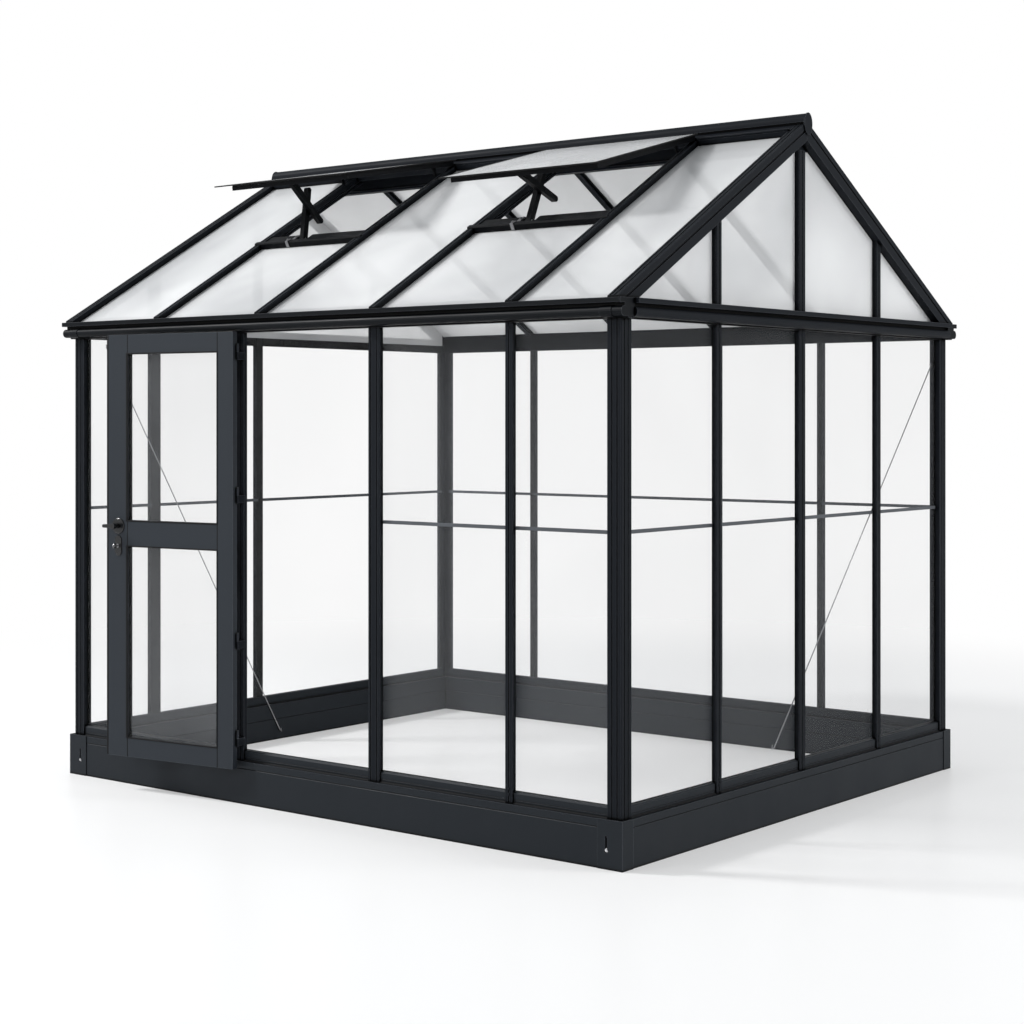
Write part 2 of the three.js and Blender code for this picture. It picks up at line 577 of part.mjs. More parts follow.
// The outside of the cap, from the top down to its neck on the slope.
function capHalf(lift) {
  const steps = 8;
  const neckZ = slopeHeight(lift, CAP_NECK);
  const edge = APEX_Z - 5;
  const shoulder = edge + CAP_SIDE;
  const points = [];
  for (let i = 0; i <= steps; i++) {
    const angle = (Math.PI / 2) * (1 - i / steps);
    const out = i === 0 ? 0 : CAP_HALF_WIDTH * Math.cos(angle);
    points.push(vec(out, shoulder + (CAP_TOP - shoulder) * Math.sin(angle)));
  }
  return [...points, vec(CAP_HALF_WIDTH, edge), vec(CAP_NECK, edge), vec(CAP_NECK, neckZ)];
}

function ridgeHalf() {
  const beadSteps = 10;
  const bead = [];
  for (let i = 0; i <= beadSteps; i++) {
    const angle = THREE.MathUtils.degToRad(240 - (300 * i) / beadSteps);
    const [down, up] = [BEAD_RADIUS * Math.cos(angle), BEAD_RADIUS * Math.sin(angle)];
    bead.push(onSlope(VENT_HINGE_S + down, VENT_HINGE_N + up));
  }
  const neck = BEAD_RADIUS * Math.cos(THREE.MathUtils.degToRad(60));
  const under = ROOF_SHEET_TOP + CLEARANCE;
  const web = 8;
  const lowest = slopeHeight(under, web);
  return [
    ...capHalf(0), onSlope(VENT_HINGE_S - neck, 0), ...bead, onSlope(VENT_HINGE_S + neck, 0),
    onSlope(RIDGE_WING, 0), onSlope(RIDGE_WING, under), vec(web, lowest), vec(web, RIDGE_BOARD_FOOT + 14),
    vec(22, RIDGE_BOARD_FOOT + 10), vec(22, RIDGE_BOARD_FOOT), vec(0, RIDGE_BOARD_FOOT),
  ];
}

// The cap alone runs on over the mitre of the rafters, to an oval plate that covers their joint.
function ridgeBar() {
  const bar = prismX(mirrored(ridgeHalf()).reverse(), -RIDGE_HALF_LENGTH, RIDGE_HALF_LENGTH);
  const overMitre = [...capHalf(CLEARANCE), vec(0, APEX_Z + CLEARANCE / Math.cos(PITCH))];
  const sides = 28;
  const middle = (CAP_TOP + CAP_FOOT) / 2;
  const oval = [];
  for (let i = 0; i < sides; i++) {
    const angle = (2 * Math.PI * i) / sides;
    oval.push(vec(END_PLATE_HALF_WIDTH * Math.cos(angle), middle + (CAP_TOP + 3 - middle) * Math.sin(angle)));
  }
  const plateFace = RAFTER_OUTER + CLEARANCE;
  const ends = [-1, 1].flatMap((side) => {
    const span = (a, b) => [side * a, side * b].sort((p, q) => p - q);
    return [
      prismX(mirrored(overMitre).reverse(), ...span(RIDGE_HALF_LENGTH - 1, plateFace + 1)),
      prismX(oval, ...span(plateFace, plateFace + END_PLATE)),
    ];
  });
  return join(bar, ...ends);
}

add(greenhouse, 'ridge_bar', ridgeBar(), BLACK);

// ---------------------------------------------------------------- wall and roof sheets
function wallSheet(x0, x1, wallFace) {
  const y0 = wallFace + SHEET_IN;
  return prismY(rectangle(x0, SHEET_FOOT, x1, SHEET_HEAD), y0, y0 + PANE);
}

const sheetEndX = POST_INNER_X + EDGE_BITE - 1;
const sheetEndY = POST_INNER_Y + EDGE_BITE - 1;
const bitten = 20;              // a sheet stops this far behind the doorway edge of a jamb
add(walls.front, 'glazing_front_left', wallSheet(-sheetEndX, DOORWAY_LEFT - bitten, -WALL_Y), CLEAR, glass);
add(walls.front, 'glazing_front_right', wallSheet(DOORWAY_RIGHT + bitten, sheetEndX, -WALL_Y), CLEAR, glass);
add(walls.back, 'glazing_back', wallSheet(-sheetEndX, sheetEndX, -WALL_Y), CLEAR, glass);

function gableSheet() {
  const under = ROOF_SHEET_UNDER - CLEARANCE;
  const peakGap = 12;
  const outline = [
    vec(-sheetEndY, SHEET_FOOT), vec(sheetEndY, SHEET_FOOT), vec(sheetEndY, slopeHeight(under, sheetEndY)),
    vec(peakGap, slopeHeight(under, peakGap)), vec(peakGap, RIDGE_BOARD_FOOT - 2),
    vec(-peakGap, RIDGE_BOARD_FOOT - 2), vec(-peakGap, slopeHeight(under, peakGap)),
    vec(-sheetEndY, slopeHeight(under, sheetEndY)),
  ];
  const y0 = -WALL_X + SHEET_IN;
  const sheet = prismY(outline, y0, y0 + PANE);
  return cut(sheet, prismY(rectangle(-24, RIDGE_BOARD_FOOT - 3, 24, APEX_Z), y0 - 1, y0 + PANE + 1));
}

add(walls.right, 'glazing_right_gable', gableSheet(), CLEAR, glass);
add(walls.left, 'glazing_left_gable', gableSheet(), CLEAR, glass);

const ROOF_SHEET_HEAD = uprightAt(9, ROOF_SHEET_UNDER);
const ROOF_SHEET_FOOT = levelMeets(EAVE_TOP + CLEARANCE, ROOF_SHEET_UNDER) - 1;

function roofSheet(notches) {
  const lowest = ROOF_SHEET_UNDER;
  const sheet = block(
    -ROOF_SHEET_HALF, lowest, ROOF_SHEET_HEAD, ROOF_SHEET_HALF, lowest + PANE, ROOF_SHEET_FOOT);
  const tools = notches.map(([x0, x1]) => block(x0, lowest - 1, 0, x1, lowest + PANE + 1, NOTCH_FOOT));
  return tools.length ? cut(sheet, ...tools) : sheet;
}

const ventBays = VENT_BAYS.map(([a, b]) => [ROOF_BARS_FRONT[a], ROOF_BARS_FRONT[b]]);
const underBar = 5;             // the sheet beside a vent stops this far short of the middle of the bar
add(slopes.front, 'roof_glazing_front',
  roofSheet(ventBays.map(([x0, x1]) => [x0 - underBar, x1 + underBar])), HAZY, haze);
add(slopes.back, 'roof_glazing_back', roofSheet([]), HAZY, haze);

// ---------------------------------------------------------------- roof vents
// Point of the open flap, given in its own s and n from the hinge line, in the s and n of the slope.
function onFlap(point, opening) {
  const [c, k] = [Math.cos(opening), Math.sin(opening)];
  return { s: VENT_HINGE_S + point.s * c - point.n * k, n: VENT_HINGE_N + point.s * k + point.n * c };
}

// Where the two opener arms cross: at equal distances from both pivots, on the ridge side of them.
function crossing(foot, head) {
  const span = Math.hypot(head.s - foot.s, head.n - foot.n);
  const rise = Math.sqrt(ARM_PIVOT_TO_CROSSING ** 2 - (span / 2) ** 2);
  const [us, un] = [(head.s - foot.s) / span, (head.n - foot.n) / span];
  return { s: (foot.s + head.s) / 2 - un * rise, n: (foot.n + head.n) / 2 + us * rise };
}

// The sill under a vent: it fits between the two roof bars, its nose laps over them, and it is
// slotted for the lug and pin of the lower arm.
function ventSill(barA, barB, openerX) {
  const [s0, s1] = VENT_SILL;
  const low = -BAR_DEPTH;
  const half = ROOF_BAR_WIDTH / 2;
  const section = [
    vec(s0, low - 10), vec(s0 + 6, low - 10), vec(s0 + 6, low), vec(s1, low), vec(s1, low + 9),
    vec(s1 - 10, low + 17), vec(s1 - 24, low + 17), vec(s1 - 28, low + 10), vec(s1 - 36, low + 10),
    vec(s1 - 40, low + 20), vec(s0 + 6, low + 20), vec(s0, low + 14),
  ];
  const rail = acrossSlope(section, barA + half + CLEARANCE, barB - half - CLEARANCE);
  const nose = (foot) => [
    vec(s1 - 14, foot), vec(s1 - 14 + SILL_NOSE, foot), vec(s1 - 14 + SILL_NOSE, SILL_NOSE_HEIGHT - 5),
    vec(s1 - 18 + SILL_NOSE, SILL_NOSE_HEIGHT), vec(s1 - 14, SILL_NOSE_HEIGHT),
  ];
  const overBars = acrossSlope(nose(CLEARANCE), barA - half, barB + half);
  const betweenBars = acrossSlope(nose(low + 5), barA + half + CLEARANCE, barB - half - CLEARANCE);
  const { s, n } = OPENER_FOOT;
  const slotHalf = ARM_GAP + ARM_THICKNESS + 2 * ARM_GAP + LUG_THICKNESS + 2;
  const slotEnd = s + ARM_END_RADIUS + 3;
  const slot = block(openerX - slotHalf, low - 20, 0, openerX + slotHalf, 2, slotEnd);
  const lugX = openerX - ARM_GAP - ARM_THICKNESS - 2 * ARM_GAP - LUG_THICKNESS;
  const lugOutline = [
    vec(slotEnd + 4, low + 2), vec(slotEnd + 4, low + 8), vec(s + 6, n + 10),
    ...arc(s, n, LUG_RADIUS, 60, 290, 12),
  ];
  const lug = acrossSlope(lugOutline, lugX, lugX + LUG_THICKNESS);
  const pin = acrossSlope(circle(s, n, PIN_RADIUS, 16), lugX + 1, openerX - ARM_GAP);
  return join(cut(rail, slot), betweenBars, overBars, lug, pin);
}

// The flap's frame, in a group that turns about the hinge line: a head rail with its hook over the
// bead, two side rails over the roof bars, a foot rail, and the lug and pin of the upper arm.
function ventFrame(x0, x1, openerX, barA, barB) {
  const low = VENT_FRAME_LIFT - VENT_HINGE_N;
  const high = low + VENT_FRAME_HEIGHT;
  const hook = [...arc(0, 0, HOOK_OUTER, -48, 210, 14), ...arc(0, 0, HOOK_INNER, 210, -48, 14)];
  const headRail = acrossSlope(rectangle(HOOK_OUTER - 1.5, low + 4, 32, high), x0, x1);
  const railFoot = VENT_FRAME_LENGTH;
  const railTop = railFoot - VENT_FRAME_WIDTH;
  const rail = [
    vec(railTop, low), vec(railFoot, low), vec(railFoot, high - 6), vec(railFoot - 6, high),
    vec(railTop, high),
  ];
  const sides = [x0, x1 - VENT_FRAME_WIDTH].map(
    (x) => block(x, low, 12, x + VENT_FRAME_WIDTH, high, railFoot - 2));
  const { s, n } = OPENER_HEAD;
  const lugX = openerX + ARM_GAP + ARM_THICKNESS + 2 * ARM_GAP;
  const lugOutline = [
    vec(railTop + 2, low + 3), vec(railTop + 2, high - 2), vec(s, high - 2),
    ...arc(s, n, LUG_RADIUS, 110, 300, 12),
  ];
  const lug = acrossSlope(lugOutline, lugX, lugX + LUG_THICKNESS);
  const pin = acrossSlope(circle(s, n, PIN_RADIUS, 16), openerX + ARM_GAP, lugX + 1);
  // A tab inside each roof bar guides the flap down into its opening.
  const tabSide = ROOF_BAR_WIDTH / 2 + 4;
  const tabs = [[barA + tabSide, 1, x0 + VENT_FRAME_WIDTH], [barB - tabSide, -1, x1 - VENT_FRAME_WIDTH]];
  const guides = tabs.flatMap(([at, side, railEdge]) => {
    const [t0, t1] = [at, at + side * 6].sort((p, q) => p - q);
    const [r0, r1] = [railEdge - side * 3, at + side * 6].sort((p, q) => p - q);
    const tab = [vec(96, low + 8), vec(96, low - GUIDE_TAB), vec(106, low - GUIDE_TAB), vec(122, low + 8)];
    return [acrossSlope(tab, t0, t1), block(r0, low, 92, r1, low + 9, 126)];
  });
  return join(
    acrossSlope(hook, x0 + 40, x1 - 40), headRail, acrossSlope(rail, x0, x1), ...sides, lug, pin, ...guides);
}

function ventPane(x0, x1, leftOverhang) {
  const low = VENT_FRAME_LIFT - VENT_HINGE_N + VENT_FRAME_HEIGHT + CLEARANCE;
  return block(x0 - leftOverhang, low, 12, x1 + PANE_OVERHANG, low + PANE, VENT_FRAME_LENGTH + PANE_DRIP);
}

// An opener arm in its own s and n: the pivot hole at 0, the crossing further along s, waisted there.
function openerArm(x0, x1) {
  const end = ARM_PIVOT_TO_CROSSING + ARM_PAST_CROSSING;
  const outline = [
    ...arc(0, 0, ARM_END_RADIUS, 110, 250, 8), vec(ARM_PIVOT_TO_CROSSING, -ARM_WAIST),
    ...arc(end, 0, ARM_END_RADIUS - 2, -70, 70, 8), vec(ARM_PIVOT_TO_CROSSING, ARM_WAIST),
  ];
  const arm = acrossSlope(outline, x0, x1, [circle(0, 0, PIN_RADIUS + PIN_FIT, 16)]);
  const rivetSide = x0 < x1 ? [x0 - 2, x0 + 1] : [];
  return join(arm, acrossSlope(circle(ARM_PIVOT_TO_CROSSING, 0, 6, 12), ...rivetSide));
}

// Place a group at a point of the slope, turned so that its s runs towards another point.
function pivotGroup(parent, at, towards, x) {
  const group = new THREE.Group();
  group.position.set(x, at.n, at.s);
  group.rotation.x = Math.atan2(towards.s - at.s, towards.n - at.n) - Math.PI / 2;
  parent.add(group);
  return group;
}

ventBays.forEach(([barA, barB], i) => {
  const number = i + 1;
  const opening = VENT_OPENING[i];
  const openerX = (barA + barB) / 2 + OPENER_OFFSET;
  add(slopes.front, `vent_sill_${number}`, ventSill(barA, barB, openerX), BLACK);

  const flap = new THREE.Group();
  flap.position.set(0, VENT_HINGE_N, VENT_HINGE_S);
  flap.rotation.x = -opening;
  slopes.front.add(flap);
  const [x0, x1] = [barA - VENT_LAP_LEFT[i], barB + VENT_LAP_RIGHT];
  add(flap, `vent_frame_${number}`, ventFrame(x0, x1, openerX, barA, barB), BLACK);
  add(flap, `vent_pane_${number}`, ventPane(x0, x1, PANE_OVERHANG_LEFT[i]), HAZY, haze);

  const head = onFlap(OPENER_HEAD, opening);
  const cross = crossing(OPENER_FOOT, head);
  const lower = pivotGroup(slopes.front, OPENER_FOOT, cross, 0);
  const upper = pivotGroup(slopes.front, head, cross, 0);
  const armIn = ARM_GAP + ARM_THICKNESS;
  add(lower, `opener_lower_arm_${number}`, openerArm(openerX - armIn, openerX - ARM_GAP), BLACK);
  add(upper, `opener_upper_arm_${number}`,
    mirrorAbout(openerArm(openerX - armIn, openerX - ARM_GAP), openerX), BLACK);
});

function mirrorAbout(geometry, x) {
  return geometryOf(solidOf(geometry).translate([-x, 0, 0]).mirror([1, 0, 0]).translate([x, 0, 0]));
}

// ---------------------------------------------------------------- door
// The leaf is drawn shut, in a group that turns about the hinge line: x runs from the hinge line to
// the lock edge, y inwards. Its rest place is swung right round against the front wall.
const door = new THREE.Group();
door.position.set(HINGE_X, -WALL_Y - HINGE_OUT, 0);
door.rotation.z = DOOR_OPEN;
greenhouse.add(door);

const LEAF_LEFT = DOOR_EDGE;
const LEAF_RIGHT = DOOR_EDGE + DOOR_WIDTH;
const LEAF_BACK = DOOR_FACE + DOOR_THICKNESS;

// The fixed knuckles stand out of the jamb on a web, in the coordinates of the front wall.
function fixedKnuckle(z) {
  const axisY = -WALL_Y - HINGE_OUT;
  const [z0, z1] = [z - HINGE_LENGTH / 2, z - CLEARANCE];
  const barrel = prism(circle(HINGE_X, axisY, HINGE_RADIUS, 16), z0, z1);
  const web = block(HINGE_X - 3, axisY, z0 + 1, HINGE_X + 2, -WALL_Y + 3, z1 - 1);
  const plate = block(DOORWAY_LEFT - 26, -WALL_Y - 4, z0, HINGE_X + 2.5, -WALL_Y + 2, z1);
  return join(barrel, web, plate);
}

function leafKnuckle(z) {
  const barrel = prism(circle(0, 0, HINGE_RADIUS, 16), z + CLEARANCE, z + HINGE_LENGTH / 2);
  const web = block(0, -2.5, z + CLEARANCE, DOOR_EDGE + 3, 2.5, z + HINGE_LENGTH / 2);
  return join(barrel, web);
}

const lights = [
  [DOOR_FOOT + BOTTOM_RAIL, MIDDLE_RAIL[0]],
  [MIDDLE_RAIL[1], DOOR_HEAD - TOP_RAIL],
];
const lightOutline = ([z0, z1], grow) => rectangle(
  LEAF_LEFT + HINGE_STILE - grow, z0 - grow, LEAF_RIGHT - LOCK_STILE + grow, z1 + grow);
const REBATE = 8;

function doorFrame() {
  const outline = rectangle(LEAF_LEFT, DOOR_FOOT, LEAF_RIGHT, DOOR_HEAD);
  const skin = (DOOR_THICKNESS - PANE) / 2 - CLEARANCE;
  const body = cut(
    prismY(outline, DOOR_FACE, LEAF_BACK, lights.map((light) => lightOutline(light, 0).reverse())),
    ...lights.map((light) => prismY(lightOutline(light, REBATE), DOOR_FACE + skin, LEAF_BACK - skin)));
  const raised = 3;
  const onFaces = [[DOOR_FACE - raised, DOOR_FACE + 1], [LEAF_BACK - 1, LEAF_BACK + raised]];
  const roses = onFaces.flatMap(([y0, y1]) => [
    prismY(circle(HANDLE_FROM_HINGE, HANDLE_HEIGHT, 23, 28), y0, y1),
    prismY(escutcheon(), y0, y1),
  ]);
  const through = [DOOR_FACE - 10, LEAF_BACK + 10];
  return cut(
    join(body, ...roses, ...HINGE_HEIGHTS.map(leafKnuckle)),
    ...railJoints(),
    prismY(circle(HANDLE_FROM_HINGE, HANDLE_HEIGHT, SPINDLE_RADIUS + PIN_FIT, 20), ...through),
    prismY(circle(HANDLE_FROM_HINGE, LOCK_HEIGHT, CYLINDER_RADIUS + PIN_FIT, 20), ...through));
}

// Fine grooves where the rails butt against the stiles, on both faces of the leaf.
function railJoints() {
  const [wide, deep] = [1.6, 1];
  const rails = [[DOOR_FOOT - 1, DOOR_FOOT + BOTTOM_RAIL + 1], [MIDDLE_RAIL[0] - 1, MIDDLE_RAIL[1] + 1],
    [DOOR_HEAD - TOP_RAIL - 1, DOOR_HEAD + 1]];
  const stiles = [LEAF_LEFT + HINGE_STILE - 4, LEAF_RIGHT - LOCK_STILE + 4];
  const faces = [[DOOR_FACE - deep, DOOR_FACE + deep], [LEAF_BACK - deep, LEAF_BACK + deep]];
  return stiles.flatMap((x) => rails.flatMap(([z0, z1]) => faces.map(
    ([y0, y1]) => block(x - wide / 2, y0, z0, x + wide / 2, y1, z1))));
}

const SPINDLE_RADIUS = 9;
const CYLINDER_RADIUS = 8;

// The plate round the lock cylinder: straight sides and round ends.
function escutcheon() {
  const [radius, half] = [13, 22];
  return [
    ...arc(HANDLE_FROM_HINGE, LOCK_HEIGHT + half, radius, 0, 180, 8),
    ...arc(HANDLE_FROM_HINGE, LOCK_HEIGHT - half, radius, 180, 360, 8),
  ];
}

add(door, 'door_frame', doorFrame(), BLACK);
lights.forEach((light, i) => {
  const y0 = DOOR_FACE + (DOOR_THICKNESS - PANE) / 2;
  const pane = prismY(lightOutline(light, REBATE - CLEARANCE), y0, y0 + PANE);
  add(door, i === 0 ? 'door_pane_lower' : 'door_pane_upper', pane, CLEAR, glass);
});

// Lever handle: a spindle through the leaf with a lever on each end, both towards the lock edge.
function leverHandle() {
  const stand = 34;
  const grip = 14;
  const tip = LEVER_REACH - 7;
  const outline = [...arc(0, 0, 11, 90, 270, 8), vec(12, -8), ...arc(tip, 0, 7, -90, 90, 8), vec(12, 8)];
  const lever = (y0) => prismY(outline, y0, y0 + grip);
  const spindle = prismY(circle(0, 0, SPINDLE_RADIUS, 20), DOOR_FACE - stand, LEAF_BACK + stand);
  return join(spindle, lever(DOOR_FACE - stand - 4), lever(LEAF_BACK + stand - grip + 4));
}

const handle = new THREE.Group();
handle.position.set(HANDLE_FROM_HINGE, 0, HANDLE_HEIGHT);
door.add(handle);
add(handle, 'door_handle', leverHandle(), BLACK);

// Lock cylinder, with the key standing in it on the inner side.
function lockCylinder() {
  const proud = 6;
  const plug = prismY(circle(0, 0, CYLINDER_RADIUS, 20), DOOR_FACE - proud, LEAF_BACK + proud);
  const blade = block(-1.2, LEAF_BACK + proud - 2, -4, 1.2, LEAF_BACK + proud + 8, 4);
  const bow = prismX(circle(LEAF_BACK + proud + 17, 0, 11, 16), -1.2, 1.2);
  const eye = prismX(circle(LEAF_BACK + proud + 21, 0, 3, 10), -2, 2);
  return cut(join(plug, blade, bow), eye);
}

const lock = new THREE.Group();
lock.position.set(HANDLE_FROM_HINGE, 0, LOCK_HEIGHT);
door.add(lock);
add(lock, 'door_lock_cylinder', lockCylinder(), SILVER, { roughness: 0.3, metalness: 0.9 });

export default greenhouse;
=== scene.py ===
# %% [markdown]
# # A walk-in greenhouse
# The imported model brings the frame of the greenhouse: bars, sills, gutters, sheets, door and roof
# vents, each where it really is. This lesson gives them their finishes, adds the thin pieces that
# are too slight for the solid model (glazing strips, brace wires, seals, screws, and a black strip
# of painted shadow under the sills), and then sets up a plain white studio. Everything is in metres,
# Z is up, and the door wall looks towards -Y.

# %% Load the frame
import json
import math
from types import SimpleNamespace

import bmesh
import bpy
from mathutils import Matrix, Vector


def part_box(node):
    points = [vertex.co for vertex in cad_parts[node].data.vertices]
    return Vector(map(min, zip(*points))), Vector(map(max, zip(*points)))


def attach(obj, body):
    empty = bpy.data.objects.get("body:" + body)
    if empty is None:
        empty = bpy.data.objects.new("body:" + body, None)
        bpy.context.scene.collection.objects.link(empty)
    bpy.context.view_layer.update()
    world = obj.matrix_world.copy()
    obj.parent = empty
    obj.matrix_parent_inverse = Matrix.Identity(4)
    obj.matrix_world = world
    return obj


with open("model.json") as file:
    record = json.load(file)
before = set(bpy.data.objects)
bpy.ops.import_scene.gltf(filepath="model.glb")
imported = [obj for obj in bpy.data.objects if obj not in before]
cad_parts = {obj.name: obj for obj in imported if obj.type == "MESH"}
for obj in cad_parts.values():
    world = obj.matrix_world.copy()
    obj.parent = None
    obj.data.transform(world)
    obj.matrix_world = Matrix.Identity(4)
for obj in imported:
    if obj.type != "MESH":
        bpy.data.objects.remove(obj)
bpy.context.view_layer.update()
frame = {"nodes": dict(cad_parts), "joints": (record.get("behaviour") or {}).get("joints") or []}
NODES = frame["nodes"]
print("frame loaded:", len(NODES), "nodes")

# %% [markdown]
# ## The camera
# The walls of a building are upright lines in the picture only if the camera is held level. A
# tilted camera would let them lean. The photo was taken level with the lens slid down a little,
# and a lens shift does the same here. The yaw, the distance and the focal length were fitted to
# the corners of the base.

# %% Camera
CAMERA_PLACE = Vector((5.288, -6.574, 1.556))
CAMERA_LEVEL = math.radians(90)
CAMERA_YAW = math.radians(38.575)
FOCAL_LENGTH = 67.97
SENSOR_WIDTH = 36.0
LENS_SHIFT = -0.0936
FARTHEST_VIEW = 200.0

camera_data = bpy.data.cameras.new("studio_camera")
camera_data.lens = FOCAL_LENGTH
camera_data.sensor_width = SENSOR_WIDTH
camera_data.shift_y = LENS_SHIFT
camera_data.clip_end = FARTHEST_VIEW
camera = bpy.data.objects.new("studio_camera", camera_data)
camera.location = CAMERA_PLACE
camera.rotation_euler = (CAMERA_LEVEL, 0.0, CAMERA_YAW)
bpy.context.scene.collection.objects.link(camera)
bpy.context.scene.camera = camera
print("camera:", FOCAL_LENGTH, "mm lens at", round(CAMERA_PLACE.z, 2), "m height")

# %% [markdown]
# ## Helpers for node trees
# Every finish below is a tree of shader nodes. It could be clicked together in the editor, but
# written down it can be read and changed. A few helpers keep each finish short: one fills sockets
# with values or links, one adds a node, and the others wrap the nodes that come up most.


# %% Helpers for node trees
def fill(tree, sockets, values):
    """Give each socket its value, or a link where the value is another node's socket."""
    for name, value in values.items():
        if isinstance(value, bpy.types.NodeSocket):
            tree.links.new(value, sockets[name])
        else:
            sockets[name].default_value = value


def put(tree, kind, values=None, **settings):
    """Add a node. settings are its attributes, and values fill its sockets."""
    node = tree.nodes.new(kind)
    for name, value in settings.items():
        setattr(node, name, value)
    fill(tree, node.inputs, values or {})
    return node


def calc(tree, operation, a, b, clamp=False):
    return put(tree, "ShaderNodeMath", {0: a, 1: b}, operation=operation, use_clamp=clamp).outputs[0]


def stretch(tree, value, old, new, **settings):
    """Carry a value from the range old to the range new."""
    values = {"Value": value, "From Min": old[0], "From Max": old[1], "To Min": new[0], "To Max": new[1]}
    return put(tree, "ShaderNodeMapRange", values, **settings).outputs["Result"]


def noise(tree, place, scale, detail, roughness=0.5, distortion=0.0):
    values = {"Vector": place, "Scale": scale, "Detail": detail, "Roughness": roughness,
              "Distortion": distortion}
    return put(tree, "ShaderNodeTexNoise", values).outputs["Fac"]


def own_place(tree):
    """Where a point of the surface is, in the metres of its own piece."""
    return put(tree, "ShaderNodeTexCoord").outputs["Object"]


def own_normal(tree):
    return put(tree, "ShaderNodeNewGeometry").outputs["Normal"]


print("helpers for node trees are ready")

# %% [markdown]
# ## Effects that several finishes share
# Steel, aluminium and plastic all show some of the same marks. Each mark could be drawn anew in
# every material, but then a change has to be made in each. Here each effect is one node group
# with named inputs, so a material places it with its own values.


# %% Helper for shared effects
def start_group(name, inputs, outputs):
    """An empty group of number sockets. Gives its tree, its inputs' values and its results."""
    group = bpy.data.node_groups.new(name, "ShaderNodeTree")
    for socket, default in inputs.items():
        made = group.interface.new_socket(name=socket, in_out="INPUT", socket_type="NodeSocketFloat")
        made.default_value = default
    for socket in outputs:
        group.interface.new_socket(name=socket, in_out="OUTPUT", socket_type="NodeSocketFloat")
    entry = group.nodes.new("NodeGroupInput")
    end = group.nodes.new("NodeGroupOutput")
    print("shared effect:", name)
    return group, entry.outputs, end.inputs


print("helper for shared effects is ready")

# %% [markdown]
# ### Orange peel
# Powder coat is baked plastic dust. Close up it has a fine orange peel, and from a step away its
# sheen drifts a little along a bar. A painted image would need every bar to be unwrapped. Two
# noises, a fine one for the peel and a wide one for the sheen, work on any shape.

# %% Shared effect: orange peel
peel_group, given, result = start_group(
    "orange_peel", {"Grain": 420.0, "Cloud": 3.0}, ("Height", "Sheen drift"))
peel_place = own_place(peel_group)
fill(peel_group, result, {
    "Height": noise(peel_group, peel_place, given["Grain"], detail=2.0),
    "Sheen drift": noise(peel_group, peel_place, given["Cloud"], detail=3.0, roughness=0.6),
})

# %% [markdown]
# ### Painted highlight along edges
# On every folded or extruded edge the coat is thin and rounded, and catches the light as a fine
# line. Real rounding would cost thousands of faces. The Bevel node only bends the normals near an
# edge, and where its normal leaves the flat one, the mask turns white. There the coats mix in a
# lighter colour: a painted highlight.

# %% Shared effect: painted highlight along edges
EDGE_RADIUS = 0.0018

edge_highlight_group, given, result = start_group("painted_edge_highlight", {"Gain": 4.0}, ("Mask",))
rounded = put(edge_highlight_group, "ShaderNodeBevel", {"Radius": EDGE_RADIUS}, samples=6).outputs["Normal"]
alike = put(edge_highlight_group, "ShaderNodeVectorMath", {0: rounded, 1: own_normal(edge_highlight_group)},
            operation="DOT_PRODUCT").outputs["Value"]
turned = calc(edge_highlight_group, "SUBTRACT", 1.0, alike)
fill(edge_highlight_group, result, {"Mask": calc(edge_highlight_group, "MULTIPLY", turned, given["Gain"], clamp=True)})

# %% [markdown]
# ### Painted shade in grooves and joints
# Between a bar and its cap, and under the lips of a gutter, almost no light gets in. The lamps
# alone leave such thin gaps too pale. The Ambient Occlusion node measures how closed in a point
# is, and what is past a small threshold is painted dark: painted shade.

# %% Shared effect: painted shade in grooves and joints
GROOVE_REACH = 0.016
GROOVE_THRESHOLD = 0.12

groove_shade_group, given, result = start_group("groove_shade", {"Gain": 5.0}, ("Mask",))
openness = put(groove_shade_group, "ShaderNodeAmbientOcclusion", {"Distance": GROOVE_REACH},
               samples=10).outputs["AO"]
closed = calc(groove_shade_group, "SUBTRACT", 1.0, openness)
past = calc(groove_shade_group, "SUBTRACT", closed, GROOVE_THRESHOLD)
fill(groove_shade_group, result, {"Mask": calc(groove_shade_group, "MULTIPLY", past, given["Gain"], clamp=True)})

# %% [markdown]
# ### Dust on faces that look up
# Outdoors a film of dust settles on sills and gutters. It lies only on faces that look up, and in
# patches. The height of the normal finds the faces, and a noise breaks the film up, so that
# nothing has to be painted by hand.

# %% Shared effect: dust on faces that look up
DUST_SLOPES = (0.2, 1.0)
DUST_PATCHES = 26.0

dust_group, given, result = start_group("settled_dust", {"Amount": 0.02}, ("Mask",))
facing = put(dust_group, "ShaderNodeSeparateXYZ", {0: own_normal(dust_group)}).outputs["Z"]
upward = stretch(dust_group, facing, DUST_SLOPES, (0.0, 1.0))
speckle = noise(dust_group, own_place(dust_group), DUST_PATCHES, detail=6.0, roughness=0.7)
patchy = calc(dust_group, "MULTIPLY", upward, speckle)
fill(dust_group, result, {"Mask": calc(dust_group, "MULTIPLY", patchy, given["Amount"], clamp=True)})

# %% [markdown]
# ## Helpers for materials
# A finish starts as Blender's own Principled shader, which stays in the material itself. The
# groups only feed it. These helpers start a material, place a group, mix two colours and turn a
# height into a bump.


# %% Helpers for materials
def start_material(name):
    material = bpy.data.materials.new(name)
    material.use_nodes = True
    tree = material.node_tree
    print("finish:", name)
    return material, tree, tree.nodes["Principled BSDF"]


def use_group(tree, group, **values):
    return put(tree, "ShaderNodeGroup", values, node_tree=group).outputs


def opaque(color):
    return (*color, 1.0)


def mix_color(tree, factor, a, b):
    return put(tree, "ShaderNodeMix", {0: factor, 6: a, 7: b}, data_type="RGBA").outputs[2]


def bump(tree, height, strength, depth):
    values = {"Height": height, "Strength": strength, "Distance": depth}
    return put(tree, "ShaderNodeBump", values).outputs["Normal"]


print("helpers for materials are ready")
